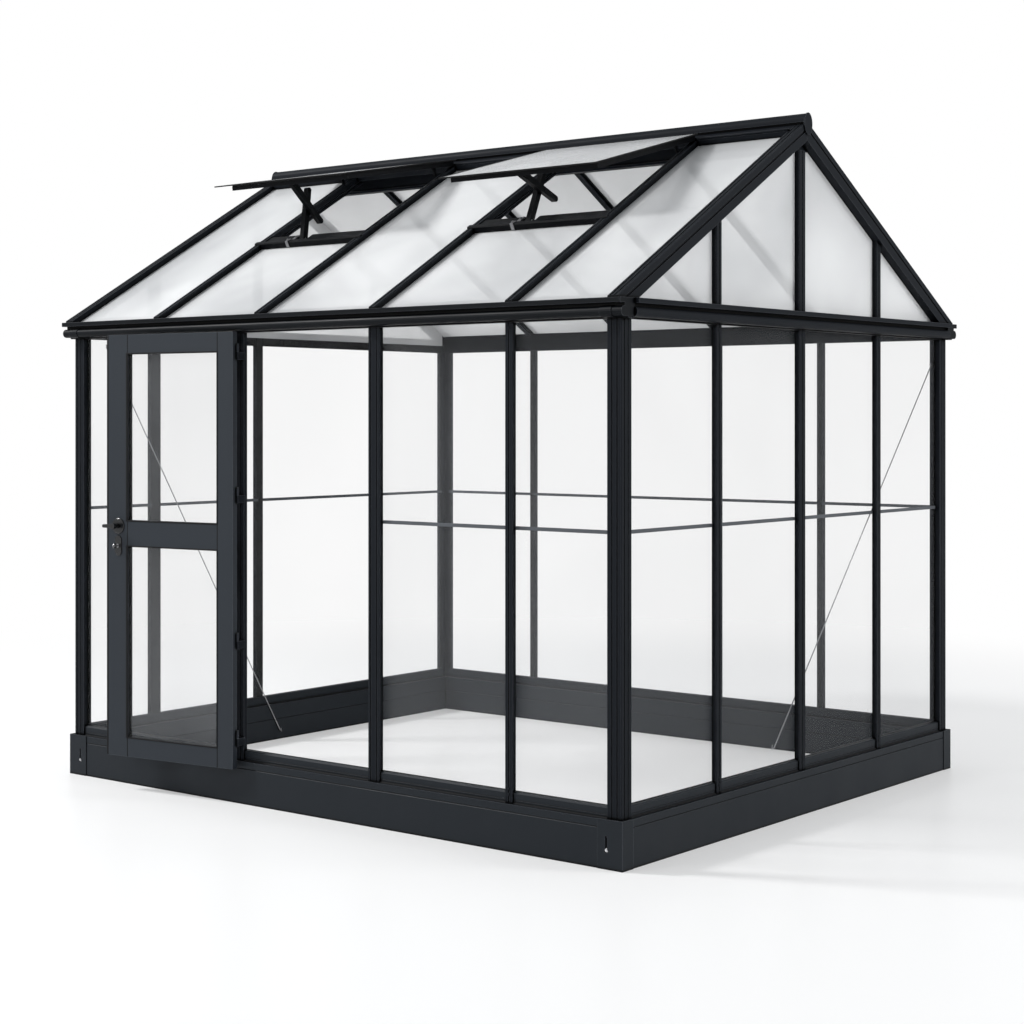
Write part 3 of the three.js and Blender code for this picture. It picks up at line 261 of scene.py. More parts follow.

# %% [markdown]
# ## Powder coat
# All the bars are extruded aluminium and the base is folded steel, and both wear the same satin
# coat, close to black with a cold tint. One plain colour would look like plastic. The shared
# effects paint a highlight on the edges and shade into the grooves, lay dust on top, and let the
# sheen drift along the bar.

# %% Powder coat
DUST_COLOR = (0.16, 0.165, 0.17)
GROOVE_PAINTED_SHADE = (0.0006, 0.0007, 0.0009)
NOISE_MIDDLE = (0.3, 0.7)
SHEEN_DRIFT = (-0.05, 0.06)
PEEL_STRENGTH = 0.12
PEEL_DEPTH = 0.00006


def powder_coat(name, color, edge_highlight, roughness, dust, gloss):
    material, tree, shader = start_material(name)
    peel = use_group(tree, peel_group)
    edges = use_group(tree, edge_highlight_group)["Mask"]
    dusty = use_group(tree, dust_group, Amount=dust)["Mask"]
    grooves = use_group(tree, groove_shade_group)["Mask"]
    # The edge mask mixes in the lighter edge colour: a painted highlight.
    edge_highlighted = mix_color(tree, edges, opaque(color), opaque(edge_highlight))
    dusted = mix_color(tree, dusty, edge_highlighted, opaque(DUST_COLOR))
    sheen = [roughness + drift for drift in SHEEN_DRIFT]
    fill(tree, shader.inputs, {
        # The groove mask turns the colour near black where little light gets in: painted shade.
        "Base Color": mix_color(tree, grooves, dusted, opaque(GROOVE_PAINTED_SHADE)),
        "Roughness": stretch(tree, peel["Sheen drift"], NOISE_MIDDLE, sheen),
        "Normal": bump(tree, peel["Height"], PEEL_STRENGTH, PEEL_DEPTH),
        "Specular IOR Level": gloss,
    })
    return material


print("the coat's sheen drifts by", SHEEN_DRIFT)

# %% [markdown]
# ## The coats of this house
# The pieces are not all one black. The base is a touch lighter than the bars and the door is the
# palest: both are lighter copies of the same coat, painted light where the lamps fall on their
# wide, flat faces. The gutters and the openers are the darkest, and the lever is glossy. So each
# has its own colour, edge highlight, roughness, dust and gloss in the same recipe.

# %% The coats of this house
# Colours of the painted highlight along the edges of each coat.
BRIGHT_EDGE_HIGHLIGHT = (0.100, 0.108, 0.122)
LEVER_EDGE_HIGHLIGHT = (0.09, 0.093, 0.10)
DULL_EDGE_HIGHLIGHT = (0.03, 0.032, 0.036)

coated_bar = powder_coat(
    "coated_bar", (0.0085, 0.0102, 0.0132), BRIGHT_EDGE_HIGHLIGHT, roughness=0.50, dust=0.025, gloss=0.05)
coated_gutter = powder_coat(
    "coated_gutter", (0.0042, 0.0052, 0.0068), BRIGHT_EDGE_HIGHLIGHT, roughness=0.46, dust=0.01, gloss=0.07)
# The base's coat is painted a touch lighter than the bars: painted light on its wide, flat faces.
steel_coat_painted_lighter = powder_coat(
    "steel_coat_painted_lighter", (0.0125, 0.0155, 0.0195), BRIGHT_EDGE_HIGHLIGHT, roughness=0.50, dust=0.03, gloss=0.12)
# The door's coat is painted palest: painted light on its lit faces.
door_coat_painted_palest = powder_coat(
    "door_coat_painted_palest", (0.0190, 0.0235, 0.0300), BRIGHT_EDGE_HIGHLIGHT, roughness=0.50, dust=0.02, gloss=0.18)
coated_opener = powder_coat(
    "coated_opener", (0.0025, 0.0030, 0.0040), DULL_EDGE_HIGHLIGHT, roughness=0.46, dust=0.01, gloss=0.06)
coated_lever = powder_coat(
    "coated_lever", (0.0040, 0.0045, 0.0055), LEVER_EDGE_HIGHLIGHT, roughness=0.26, dust=0.01, gloss=0.5)

# %% [markdown]
# ## Brushed lines
# Zinc and drawn steel carry fine lines from rolling and drawing, which stretch a highlight. An
# anisotropic shader would need a direction for every face. A noise squeezed along Z draws the
# lines themselves, and serves for tone, roughness and bump.

# %% Shared effect: brushed lines
LINE_SQUEEZE = (1.0, 1.0, 0.06)

brush_group, given, result = start_group("brush_lines", {"Count": 400.0}, ("Lines",))
brush_place = put(brush_group, "ShaderNodeMapping",
                  {"Vector": own_place(brush_group), "Scale": LINE_SQUEEZE}).outputs["Vector"]
fill(brush_group, result, {"Lines": noise(brush_group, brush_place, given["Count"], detail=4.0)})

# %% [markdown]
# ## Bare metal, rubber and plastic
# Bolts and rivets are bright zinc. The spring clips, the lock cylinder and the brace wires are
# duller steel. The seals are matt black rubber, and the glazing strips are dark grey plastic. Two
# recipes are enough for all five: a metal that mixes a light and a dark tone along its brushed
# lines, and a plastic that borrows the orange peel at a finer grain.

# %% Bare metal, rubber and plastic
LINE_DRIFT = (-0.06, 0.10)
LINE_STRENGTH = 0.2
GRAIN_STRENGTH = 0.4
FINE_DEPTH = 0.0001
PLASTIC_GLOSS = 0.2


def bare_metal(name, light, dark, roughness):
    material, tree, shader = start_material(name)
    lines = use_group(tree, brush_group)["Lines"]
    fill(tree, shader.inputs, {
        "Base Color": mix_color(tree, lines, opaque(dark), opaque(light)),
        "Roughness": stretch(tree, lines, (0.0, 1.0), [roughness + drift for drift in LINE_DRIFT]),
        "Normal": bump(tree, lines, LINE_STRENGTH, FINE_DEPTH),
        "Metallic": 1.0,
    })
    return material


def soft_plastic(name, dark, light, roughness):
    material, tree, shader = start_material(name)
    peel = use_group(tree, peel_group, Grain=1500.0, Cloud=8.0)
    fill(tree, shader.inputs, {
        "Base Color": mix_color(tree, peel["Sheen drift"], opaque(dark), opaque(light)),
        "Normal": bump(tree, peel["Height"], GRAIN_STRENGTH, FINE_DEPTH),
        "Roughness": roughness,
        "Specular IOR Level": PLASTIC_GLOSS,
    })
    return material


zinc = bare_metal("zinc_plate", (0.75, 0.75, 0.76), (0.50, 0.50, 0.52), roughness=0.28)
clip_metal = bare_metal("clip_steel", (0.42, 0.42, 0.43), (0.16, 0.16, 0.17), roughness=0.34)
wire_metal = bare_metal("brace_wire_steel", (0.36, 0.36, 0.37), (0.20, 0.20, 0.21), roughness=0.36)
# The same matt black also makes the painted shadow line between base and sill.
rubber_and_shadow_black = soft_plastic(
    "rubber_and_shadow_black", (0.0025, 0.0027, 0.0032), (0.005, 0.0052, 0.006), roughness=0.75)
strip_plastic = soft_plastic(
    "strip_plastic", (0.060, 0.066, 0.074), (0.085, 0.092, 0.102), roughness=0.5)

# %% [markdown]
# ## Clouds in a sheet
# No sheet is quite even. A wide, soft noise lets its veil and its tone drift between two ends,
# which each material sets for itself. On the roof and the gables the drift of the tone is painted
# soft shade and reflections. Even numbers would make the large panes look empty.

# %% Shared effect: clouds in a sheet
cloud_group, given, result = start_group(
    "sheet_cloud", {"Size": 1.3, "Low": 0.0, "High": 1.0}, ("Value",))
cloud = noise(cloud_group, own_place(cloud_group), given["Size"],
              detail=2.0, roughness=0.45, distortion=0.6)
fill(cloud_group, result, {
    "Value": stretch(cloud_group, cloud, NOISE_MIDDLE, (given["Low"], given["High"])),
})


def clouds(tree, size, ends=(0.0, 1.0)):
    return use_group(tree, cloud_group, Size=size, Low=ends[0], High=ends[1])["Value"]


# %% [markdown]
# ## Wall panes
# The walls are clear, but a pane still lays a thin grey veil over what stands behind it, so the
# far bars look greyer than the near ones. A shader that bends light would only add noise here.
# Alpha does the same job: the pane is almost see-through, with a smooth glossy face on top.

# %% Wall panes
WALL_TINTS = (opaque((0.36, 0.37, 0.385)), opaque((0.44, 0.45, 0.465)))
WALL_VEIL = (0.032, 0.060)
WALL_VEIL_SIZE = 0.9
WALL_TONE_SIZE = 0.6


def clear_sheet(name):
    material, tree, shader = start_material(name)
    fill(tree, shader.inputs, {
        "Alpha": clouds(tree, WALL_VEIL_SIZE, WALL_VEIL),
        "Base Color": mix_color(tree, clouds(tree, WALL_TONE_SIZE), *WALL_TINTS),
        "Roughness": 0.06,
    })
    return material


wall_sheet = clear_sheet("wall_sheet_clear")

# %% [markdown]
# ## Roof and gable sheets
# The roof and the gable triangles scatter the light, and what lies behind shows only as a soft
# grey shape. A thick veil with wide clouds gives that milky look without a slow blur. Wide clouds
# in the tone, from the milky white down to a grey, are painted soft shade and reflections. The
# gable sheets run from the sill to the roof in one piece, so their finish changes at the eave:
# below it the height picks the walls' veil, above it the hazy one.

# %% Roof and gable sheets
# The milky tone of the sheet, and the grey of its painted soft shade and reflections.
ROOF_TONE_AND_PAINTED_SHADE = (opaque((0.91, 0.915, 0.92)), opaque((0.60, 0.61, 0.62)))
ROOF_VEIL = (0.50, 0.70)
GABLE_VEIL = (0.36, 0.54)
HAZE_VEIL_SIZE = 1.4
HAZE_PAINTED_SHADE_SIZE = 1.1
EAVE_LINE = 1.93


# The tone clouds mix the milky white with grey patches: painted soft shade and reflections.
def haze(tree, veil_ends):
    veil = clouds(tree, HAZE_VEIL_SIZE, veil_ends)
    return veil, mix_color(tree, clouds(tree, HAZE_PAINTED_SHADE_SIZE), *ROOF_TONE_AND_PAINTED_SHADE)


def hazy_sheet(name):
    material, tree, shader = start_material(name)
    veil, shade = haze(tree, ROOF_VEIL)
    fill(tree, shader.inputs, {"Alpha": veil, "Base Color": shade, "Roughness": 0.18})
    return material


def two_part_sheet(name):
    material, tree, shader = start_material(name)
    veil, shade = haze(tree, GABLE_VEIL)
    low_veil = clouds(tree, WALL_VEIL_SIZE, WALL_VEIL)
    height = put(tree, "ShaderNodeSeparateXYZ", {0: own_place(tree)}).outputs["Z"]
    above = calc(tree, "GREATER_THAN", height, EAVE_LINE)
    fill(tree, shader.inputs, {
        "Alpha": put(tree, "ShaderNodeMix", {0: above, 2: low_veil, 3: veil}).outputs[0],
        "Base Color": mix_color(tree, above, WALL_TINTS[0], shade),
        "Roughness": 0.08,
    })
    return material


roof_sheet = hazy_sheet("roof_sheet_hazy")
gable_sheet = two_part_sheet("gable_sheet")

# %% [markdown]
# ## Dress the CAD nodes
# Each node of the frame keeps its shape and gets the finish of what it is made of. They could be
# dressed one by one, but their names say what they are, so the choice goes by the start of the
# name. What is not in the list is a painted bar.

# %% Dress the CAD nodes
FINISHES = {
    "base_rail": steel_coat_painted_lighter,
    "door_frame": door_coat_painted_palest,
    "door_lock_cylinder": clip_metal,
    "door_pane": wall_sheet,
    "glazing_front": wall_sheet,
    "glazing_back": wall_sheet,
    "glazing_right_gable": gable_sheet,
    "glazing_left_gable": gable_sheet,
    "roof_glazing": roof_sheet,
    "vent_pane": roof_sheet,
    "opener": coated_opener,
    "vent_sill": coated_opener,
    "vent_frame": coated_opener,
    "eave_gutter": coated_gutter,
    "door_handle": coated_lever,
}


def finish_of(node_name):
    for start, material in FINISHES.items():
        if node_name.startswith(start):
            return material
    return coated_bar


for node_name, node in NODES.items():
    node.data.materials.clear()
    node.data.materials.append(finish_of(node_name))
print("finishes used:", len({finish_of(n).name for n in NODES}))

# %% [markdown]
# ## Tools for the thin pieces
# A glazing strip, a seal and a brace wire are all long and thin. Modifiers could make them, but an
# outline that is carried along a line gives the exact shape with few faces. `skin` lays faces from
# one ring of points to the next, and `add_prism` uses it to carry an outline from point to point.


# %% Tools for the thin pieces
def new_piece(name, data, material, body):
    piece = bpy.data.objects.new(name, data)
    bpy.context.scene.collection.objects.link(piece)
    piece.data.materials.append(material)
    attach(piece, body)
    print("piece:", name, "on", body)


def mesh_from(bm, name):
    bmesh.ops.recalc_face_normals(bm, faces=bm.faces)
    mesh = bpy.data.meshes.new(name)
    bm.to_mesh(mesh)
    bm.free()
    return mesh


def skin(bm, rings, endless=False):
    """Join rings of points. An endless skin goes back to the first ring, another gets two caps."""
    rings = [[bm.verts.new(point) for point in ring] for ring in rings]
    for a, b in zip(rings, rings[1:] + rings[:1] if endless else rings[1:]):
        for i in range(len(a)):
            j = (i + 1) % len(a)
            bm.faces.new((a[i], a[j], b[j], b[i]))
    if not endless:
        bm.faces.new(list(reversed(rings[0])))
        bm.faces.new(rings[-1])


def add_prism(bm, outline, start, end, side, up):
    """Carry an outline of (across, up) pairs from start to end."""
    skin(bm, [[centre + side * a + up * b for a, b in outline] for centre in (start, end)])


print("tools for the thin pieces are ready")

# %% [markdown]
# ## The four walls
# Strips, sealant and screws come back on every wall. Four copies of the same lines would drift
# apart, so one list says for each wall which axis it runs along, which way it looks, and what
# bars, end posts and sheet it has.

# %% The four walls
X_AXIS, Y_AXIS, UP = Vector((1, 0, 0)), Vector((0, 1, 0)), Vector((0, 0, 1))
AXES = (X_AXIS, Y_AXIS)
ALONG_X, ALONG_Y = 0, 1


def numbered(start, count):
    return [f"{start}_{i}" for i in range(1, count + 1)]


def posts(*corners):
    return [f"corner_post_{corner}" for corner in corners]


WALLS = {
    "front": SimpleNamespace(along=ALONG_X, outward=-1, bars=["wall_bar_front"],
                             ends=["door_jamb_lock", *posts("front_right")],
                             sheet="glazing_front_right"),
    "back": SimpleNamespace(along=ALONG_X, outward=1, bars=numbered("wall_bar_back", 4),
                            ends=posts("back_left", "back_right"), sheet="glazing_back"),
    "right": SimpleNamespace(along=ALONG_Y, outward=1, bars=numbered("gable_bar_right", 3),
                             ends=posts("front_right", "back_right"), sheet="glazing_right_gable"),
    "left": SimpleNamespace(along=ALONG_Y, outward=-1, bars=numbered("gable_bar_left", 3),
                            ends=posts("front_left", "back_left"), sheet="glazing_left_gable"),
}


def wall_point(along, a, b, z):
    """A point a along the wall, b across it and z above the floor."""
    return Vector((a, b, z)) if along == ALONG_X else Vector((b, a, z))


print("walls:", ", ".join(f"{name} with {len(wall.bars)} bars" for name, wall in WALLS.items()))

# %% [markdown]
# ## Glazing strips
# A wall pane is two pieces of sheet, one above the other. A thin H-shaped strip of plastic joins
# them at a little over a metre, in every bay beside the doorway and round the other three walls.
# A strip right through the sheet would run into the solid, so one half of it is laid on each face,
# from bar to bar.

# %% Glazing strips
STRIP_HEIGHT = 1.155
STRIP_OFF_SHEET = 0.0031
STRIP_INTO_BAR = 0.002
STRIP_OUTLINE = [
    (-0.0015, -0.0065), (0.0, -0.0065), (0.0, -0.0015), (0.0, 0.0015), (0.0, 0.0065), (-0.0015, 0.0065),
    (-0.003, 0.005), (-0.003, -0.005),
]


def bay_ends(names, axis):
    """The clear stretches between neighbouring uprights."""
    spans = sorted((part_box(n)[0][axis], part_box(n)[1][axis]) for n in names)
    return [(a[1], b[0]) for a, b in zip(spans, spans[1:])]


def glazing_strips(name, wall):
    across = 1 - wall.along
    low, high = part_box(wall.sheet)
    bm = bmesh.new()
    for a, b in bay_ends(wall.bars + wall.ends, wall.along):
        for face, away in ((low[across], -1), (high[across], 1)):
            start, end = (wall_point(wall.along, value, face + away * STRIP_OFF_SHEET, STRIP_HEIGHT)
                          for value in (a - STRIP_INTO_BAR, b + STRIP_INTO_BAR))
            add_prism(bm, STRIP_OUTLINE, start, end, AXES[across] * away, UP)
    new_piece(name, mesh_from(bm, name), strip_plastic, "house")


for wall_name, wall in WALLS.items():
    glazing_strips(f"glazing_strip_{wall_name}", wall)

# %% [markdown]
# ## Brace wires
# A steel wire runs slantwise inside each gable wall, from a top corner to the foot of the wall. It
# keeps the frame square. A cylinder would have no hooks. A curve with a round bevel gives the thin
# rod and the bent hook at both of its ends in one go.

# %% Brace wires
WIRE_RADIUS = 0.0024
TOP_HOOK = [(0.012, 0.006), (0.006, 0.009), (0.0, 0.0)]
FOOT_HOOK = [(0.0, 0.0), (-0.008, 0.007), (0.010, 0.012)]
WIRE_OFF_SHEET = 0.008
WIRE_OFF_RAIL = 0.005
GABLE_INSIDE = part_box("glazing_right_gable")[0].x - WIRE_OFF_SHEET
LEFT_RAIL_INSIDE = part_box("base_rail_left")[1].x + WIRE_OFF_RAIL
CENTRE_LINE = (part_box("base_rail_front")[0].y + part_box("base_rail_back")[1].y) / 2


def brace_wire(name, top, foot, hook_turn):
    """Hooks are given as (along the wire, across it), and turn towards hook_turn on the x axis."""
    run = (top - foot).normalized()
    across = X_AXIS * hook_turn
    points = [end + run * a + across * b
              for end, hook in ((top, TOP_HOOK), (foot, FOOT_HOOK)) for a, b in hook]
    curve = bpy.data.curves.new(name, "CURVE")
    curve.dimensions = "3D"
    curve.bevel_depth = WIRE_RADIUS
    curve.bevel_resolution = 3
    spline = curve.splines.new("POLY")
    spline.points.add(len(points) - 1)
    for knot, point in zip(spline.points, points):
        knot.co = (*point, 1.0)
    new_piece(name, curve, wire_metal, "house")


brace_wire("brace_wire_right", Vector((GABLE_INSIDE, CENTRE_LINE + 1.168, 1.78)),
           Vector((GABLE_INSIDE, CENTRE_LINE - 0.168, 0.275)), -1)
brace_wire("brace_wire_left", Vector((-GABLE_INSIDE, CENTRE_LINE - 1.095, 1.86)),
           Vector((LEFT_RAIL_INSIDE, CENTRE_LINE - 0.05, 0.045)), 1)

# %% [markdown]
# ## Places on the roof
# What lies on a slope is easier to place in the slope's own terms: x along the house, s down from
# the apex and n out of the roof. Turned objects would do that too, but then their points are no
# longer in the metres of the house. Two small functions do the turning instead.

# %% Places on the roof
ROOF_PITCH = math.radians(30.2)
CAP_ABOVE_APEX = 0.0334
APEX = Vector((0.0, CENTRE_LINE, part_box("ridge_bar")[1].z - CAP_ABOVE_APEX))
FRONT_SLOPE, BACK_SLOPE = -1.0, 1.0


def slope_frame(turn):
    """Directions down a slope and out of it; the front slope falls towards -Y."""
    down = Vector((0.0, turn * math.cos(ROOF_PITCH), -math.sin(ROOF_PITCH)))
    out = Vector((0.0, turn * math.sin(ROOF_PITCH), math.cos(ROOF_PITCH)))
    return down, out


def on_slope(turn, x, s, n):
    down, out = slope_frame(turn)
    return Vector((x, APEX.y, APEX.z)) + down * s + out * n


print("apex of the roof at", round(APEX.z, 3), "m")

# %% [markdown]
# ## Rails under the roof
# A roof bar shows its cap above the sheet, but the part that carries the load is under it: an
# extruded rail with a flange against the sheet, a web and a bulb for the bolt heads. They are what
# one sees, black, through the open vents, and as soft grey stripes through the sheets. A plain box
# would show no steps, so a stepped outline is carried down the slope.

# %% Rails under the roof
RAIL_SPAN = (0.060, 1.400)
RAIL_SEAT = -0.0286
RAIL_HALF_WIDTHS = {"front": 0.015, "back": 0.021}
RAIL_SLOPES = {"front": FRONT_SLOPE, "back": BACK_SLOPE}


def rail_outline(half):
    return [(-half, 0.0), (-half, -0.004), (-0.004, -0.007), (-0.004, -0.011), (-half * 0.6, -0.012),
            (-half * 0.6, -0.019), (half * 0.6, -0.019), (half * 0.6, -0.012), (0.004, -0.011),
            (0.004, -0.007), (half, -0.004), (half, 0.0)]


def middle_of(node_name, axis):
    low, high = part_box(node_name)
    return (low[axis] + high[axis]) / 2


def roof_rail(side_name, number):
    turn = RAIL_SLOPES[side_name]
    x = middle_of(f"roof_bar_{side_name}_{number}", ALONG_X)
    start, end = (on_slope(turn, x, s, RAIL_SEAT) for s in RAIL_SPAN)
    bm = bmesh.new()
    add_prism(bm, rail_outline(RAIL_HALF_WIDTHS[side_name]), start, end, X_AXIS, slope_frame(turn)[1])
    name = f"roof_rail_{side_name}_{number}"
    new_piece(name, mesh_from(bm, name), coated_bar, "house")


for side_name in RAIL_SLOPES:
    for number in (1, 2, 3, 4):
        roof_rail(side_name, number)

# %% [markdown]
# ## Trim round the vent panes
# The free edges of a vent's pane are closed by a slim black trim, which is the dark outline that
# the raised flap shows against the sky. It runs down one side, along the front and up the other
# side. It could be typed in for one angle of the flap, but the pane's own mesh gives the corners
# and the slope, so the trim fits however the vent stands in the frame.

# %% Trim round the vent panes
TRIM_OUTLINE = [(-0.0016, -0.0020), (-0.0002, -0.0020), (-0.0002, 0.0022), (0.009, 0.0022), (0.009, 0.0032),
                (-0.0010, 0.0034), (-0.0016, 0.0028)]


def middle_point(points):
    return sum((Vector((0, p.y, p.z)) for p in points), Vector()) / len(points)


def pane_trim(number):
    points = [v.co for v in NODES[f"vent_pane_{number}"].data.vertices]
    left, right = min(p.x for p in points), max(p.x for p in points)
    middle = sum(p.y for p in points) / len(points)
    free_edge = middle_point([p for p in points if p.y < middle])
    hinge_edge = middle_point([p for p in points if p.y >= middle])
    down = (free_edge - hinge_edge).normalized()
    out = Vector((0, down.z, -down.y))
    corners = ((left, hinge_edge, 1, 0), (left, free_edge, 1, -1), (right, free_edge, -1, -1),
               (right, hinge_edge, -1, 0))
    bm = bmesh.new()
    skin(bm, [[edge + X_AXIS * (x + turn_x * a) + down * (turn_s * a) + out * b for a, b in TRIM_OUTLINE]
              for x, edge, turn_x, turn_s in corners])
    name = f"vent_trim_{number}"
    new_piece(name, mesh_from(bm, name), rubber_and_shadow_black, f"vent_{number}")


for number in (1, 2):
    pane_trim(number)

# %% [markdown]
# ## Apex plates
# Where the two sloping bars of a gable meet over the middle upright, a small three-cornered plate
# closes the corner. It hides the end of the upright, which stops short of the mitre. A longer
# upright would run into the bars, and a plate laid over the corner is thin and quickly made.

# %% Apex plates
APEX_PLATE_TOP = 2.642
APEX_PLATE_FOOT = 2.597
APEX_PLATE_THICKNESS = 0.0025
APEX_PLATE_GAP = 0.0006


def apex_plate(side_name, outward):
    low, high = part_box(f"glazing_{side_name}_gable")
    face = (high.x if outward > 0 else low.x) + outward * APEX_PLATE_GAP
    half = (APEX_PLATE_TOP - APEX_PLATE_FOOT) / math.tan(ROOF_PITCH)
    outline = [(-half, APEX_PLATE_FOOT), (half, APEX_PLATE_FOOT), (0.0, APEX_PLATE_TOP)]
    start = Vector((face, CENTRE_LINE, 0.0))
    bm = bmesh.new()
    add_prism(bm, outline, start, start + X_AXIS * (outward * APEX_PLATE_THICKNESS), Y_AXIS, UP)
    name = f"apex_plate_{side_name}"
    new_piece(name, mesh_from(bm, name), coated_bar, "house")


for side_name in ("right", "left"):
    apex_plate(side_name, WALLS[side_name].outward)

# %% [markdown]
# ## Painted shadow line between base and sill
# The sill stands on the steel base, and the gap between them shows, inside and outside, as the
# dark line of shade that runs round the whole house a hand above the floor. A thin black prism in
# the corner stands in for that shade: a painted shadow line. A dark stripe in the paint would be
# flat, and a small prism in the corner is as easy.

# %% Painted shadow line between base and sill
SHADOW_LINE_OUTLINE = [(0.0002, 0.0002), (0.0050, 0.0002), (0.0024, 0.0020), (0.0002, 0.0050)]
SHADOW_LINE_END_GAP = 0.001
SILL_FOOT = 0.170
SILL_FACES = {"inner": (0.017, -1), "outer": (0.0477, 1)}
SILL_ENDS = {
    "front": posts("front_left", "front_right"),
    "back": posts("back_left", "back_right"),
    "left": posts("front_left", "back_left"),
    "right": posts("front_right", "back_right"),
}


# A black prism in the corner of base and sill: a painted shadow line.
def sill_shadow_line(wall_name, first_post, last_post):
    along, outward = WALLS[wall_name].along, WALLS[wall_name].outward
    across = 1 - along
    low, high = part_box(f"base_rail_{wall_name}")
    inside = low[across] if outward > 0 else high[across]
    ends = (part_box(first_post)[1][along] + SHADOW_LINE_END_GAP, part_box(last_post)[0][along] - SHADOW_LINE_END_GAP)
    bm = bmesh.new()
    for offset, turn in SILL_FACES.values():
        start, end = (wall_point(along, value, inside + outward * offset, SILL_FOOT) for value in ends)
        add_prism(bm, SHADOW_LINE_OUTLINE, start, end, AXES[across] * (outward * turn), UP)
    name = f"sill_shadow_line_{wall_name}"
    new_piece(name, mesh_from(bm, name), rubber_and_shadow_black, "house")


for wall_name, ends in SILL_ENDS.items():
    sill_shadow_line(wall_name, *ends)

# %% [markdown]
# ## Places on the door
# The door is measured shut, from its hinge line, but in the photo it stands almost folded back. A
# piece could be built shut and then turned as an object. Turning each point as it is made keeps
# every mesh in the metres of the house, and the joint carries it on from there.

# %% Places on the door
DOOR_HINGE = next(j for j in frame["joints"] if j["name"] == "door_hinge")["pos_m"]
DOOR_REST = math.radians(-172.9)
LEAF_SIDES = ((-0.003, -1), (0.023, 1))


def on_door(x, y, z):
    """A point of the shut leaf, x from the hinge line, y inwards, carried to the open rest place."""
    c, k = math.cos(DOOR_REST), math.sin(DOOR_REST)
    return Vector((DOOR_HINGE[0] + x * c - y * k, DOOR_HINGE[1] + x * k + y * c, z))


print("door hinge line at", [round(v, 3) for v in DOOR_HINGE[:2]])

# %% [markdown]
# ## Beads round the door's panes
# A black bead of soft plastic is pressed into the groove all round each pane of the door. It is
# the dark line between the grey stile and the glass, and it is widest on the lock side. Four
# strips would have to be mitred at the corners. One ring of four corners, with a profile between
# an inner and an outer rectangle, is mitred by itself.

# %% Beads round the door's panes
LIGHT_X = (0.0895, 0.563)
LIGHTS = {"lower": (0.227, 1.014), "upper": (1.125, 1.812)}
BEAD_OVERLAP = 0.0004
BEAD_WIDTH = 0.005
BEAD_WIDTH_LOCK_SIDE = 0.012
BEAD_PROFILE = [(0.0, 0.0002), (0.1, 0.0016), (0.5, 0.0022), (0.9, 0.0016), (1.0, 0.0002)]


def bead_ring(bm, inner, outer, face, away):
    """inner and outer are (x0, z0, x1, z1); the profile gives (share from inner to outer, height)."""
    rings = []
    for x, z in ((0, 1), (2, 1), (2, 3), (0, 3)):
        rings.append([on_door(inner[x] * (1 - share) + outer[x] * share, face + away * height,
                              inner[z] * (1 - share) + outer[z] * share)
                      for share, height in BEAD_PROFILE])
    skin(bm, rings, endless=True)


for light_name, (z0, z1) in LIGHTS.items():
    inner = (LIGHT_X[0] - BEAD_OVERLAP, z0 - BEAD_OVERLAP, LIGHT_X[1] + BEAD_OVERLAP, z1 + BEAD_OVERLAP)
    outer = (inner[0] - BEAD_WIDTH, inner[1] - BEAD_WIDTH, inner[2] + BEAD_WIDTH_LOCK_SIDE,
             inner[3] + BEAD_WIDTH)
    bm = bmesh.new()
    for face, away in LEAF_SIDES:
        bead_ring(bm, inner, outer, face, away)
    bead_name = f"door_bead_{light_name}"
    new_piece(bead_name, mesh_from(bm, bead_name), rubber_and_shadow_black, "door")

# %% [markdown]
# ## Joint seals
# The door's rails butt against its stiles, and a thin dark line of sealant fills each joint. A
# seal also runs up the free edge of the leaf. On the solid the joints are only shallow grooves, so
# a flat strip is sunk into each, a hair proud of the paint, where a coloured line would blur.

# %% Joint seals
JOINT_X = (0.0855, 0.567)
JOINT_HEIGHTS = [(0.1456, 0.2212), (1.0198, 1.1192), (1.8178, 1.8934)]
JOINT_WIDTH = 0.0042
JOINT_PROUD = 0.0003
EDGE_SEAL = (0.672, 0.6805, 0.1455, 1.8935)
EDGE_SEAL_PROUD = 0.00025
SEAL_SUNK = 0.0004


def flat_strip(bm, x0, x1, z0, z1, y0, y1):
    corners = ((x0, z0), (x1, z0), (x1, z1), (x0, z1))
    skin(bm, [[on_door(x, y, z) for x, z in corners] for y in (y0, y1)])


bm = bmesh.new()
for face, away in LEAF_SIDES:
    sunk = face - away * SEAL_SUNK
    for z0, z1 in JOINT_HEIGHTS:
        for x in JOINT_X:
            flat_strip(bm, x - JOINT_WIDTH / 2, x + JOINT_WIDTH / 2, z0, z1, sunk, face + away * JOINT_PROUD)
    flat_strip(bm, *EDGE_SEAL, sunk, face + away * EDGE_SEAL_PROUD)
new_piece("door_joint_seals", mesh_from(bm, "door_joint_seals"), rubber_and_shadow_black, "door")

# %% [markdown]
# ## Rose and escutcheon
# The lever turns in a black rose, and a black plate with round ends surrounds the lock cylinder.
# A disc with a hole cut by a boolean would leave long thin faces. Each plate is a ring of sections
# instead, from the skirt over the rim to the hole, so its edges stay closed round what turns in it.

# %% Rose and escutcheon
SPINDLE = (0.616, 1.100)
CYLINDER = (0.616, 1.018)
ROSE_RADIUS = 0.0300
ROSE_HOLE = 0.0105
ESCUTCHEON_HALF_LENGTH = 0.0225
ESCUTCHEON_RADIUS = 0.0165
ESCUTCHEON_HOLE = 0.0092
SKIRT_FLARE = 1.06
INNER_FLARE = 1.01
PLATE_SIDES = 32
PLATE_FOOT = 0.0002
PLATE_SKIRT = 0.0030
PLATE_TOP = 0.0042
PLATE_UNDERSIDE = 0.0032


def ring_outline(radius, sides):
    angles = [2 * math.pi * i / sides for i in range(sides)]
    return [(radius * math.cos(angle), radius * math.sin(angle)) for angle in angles]


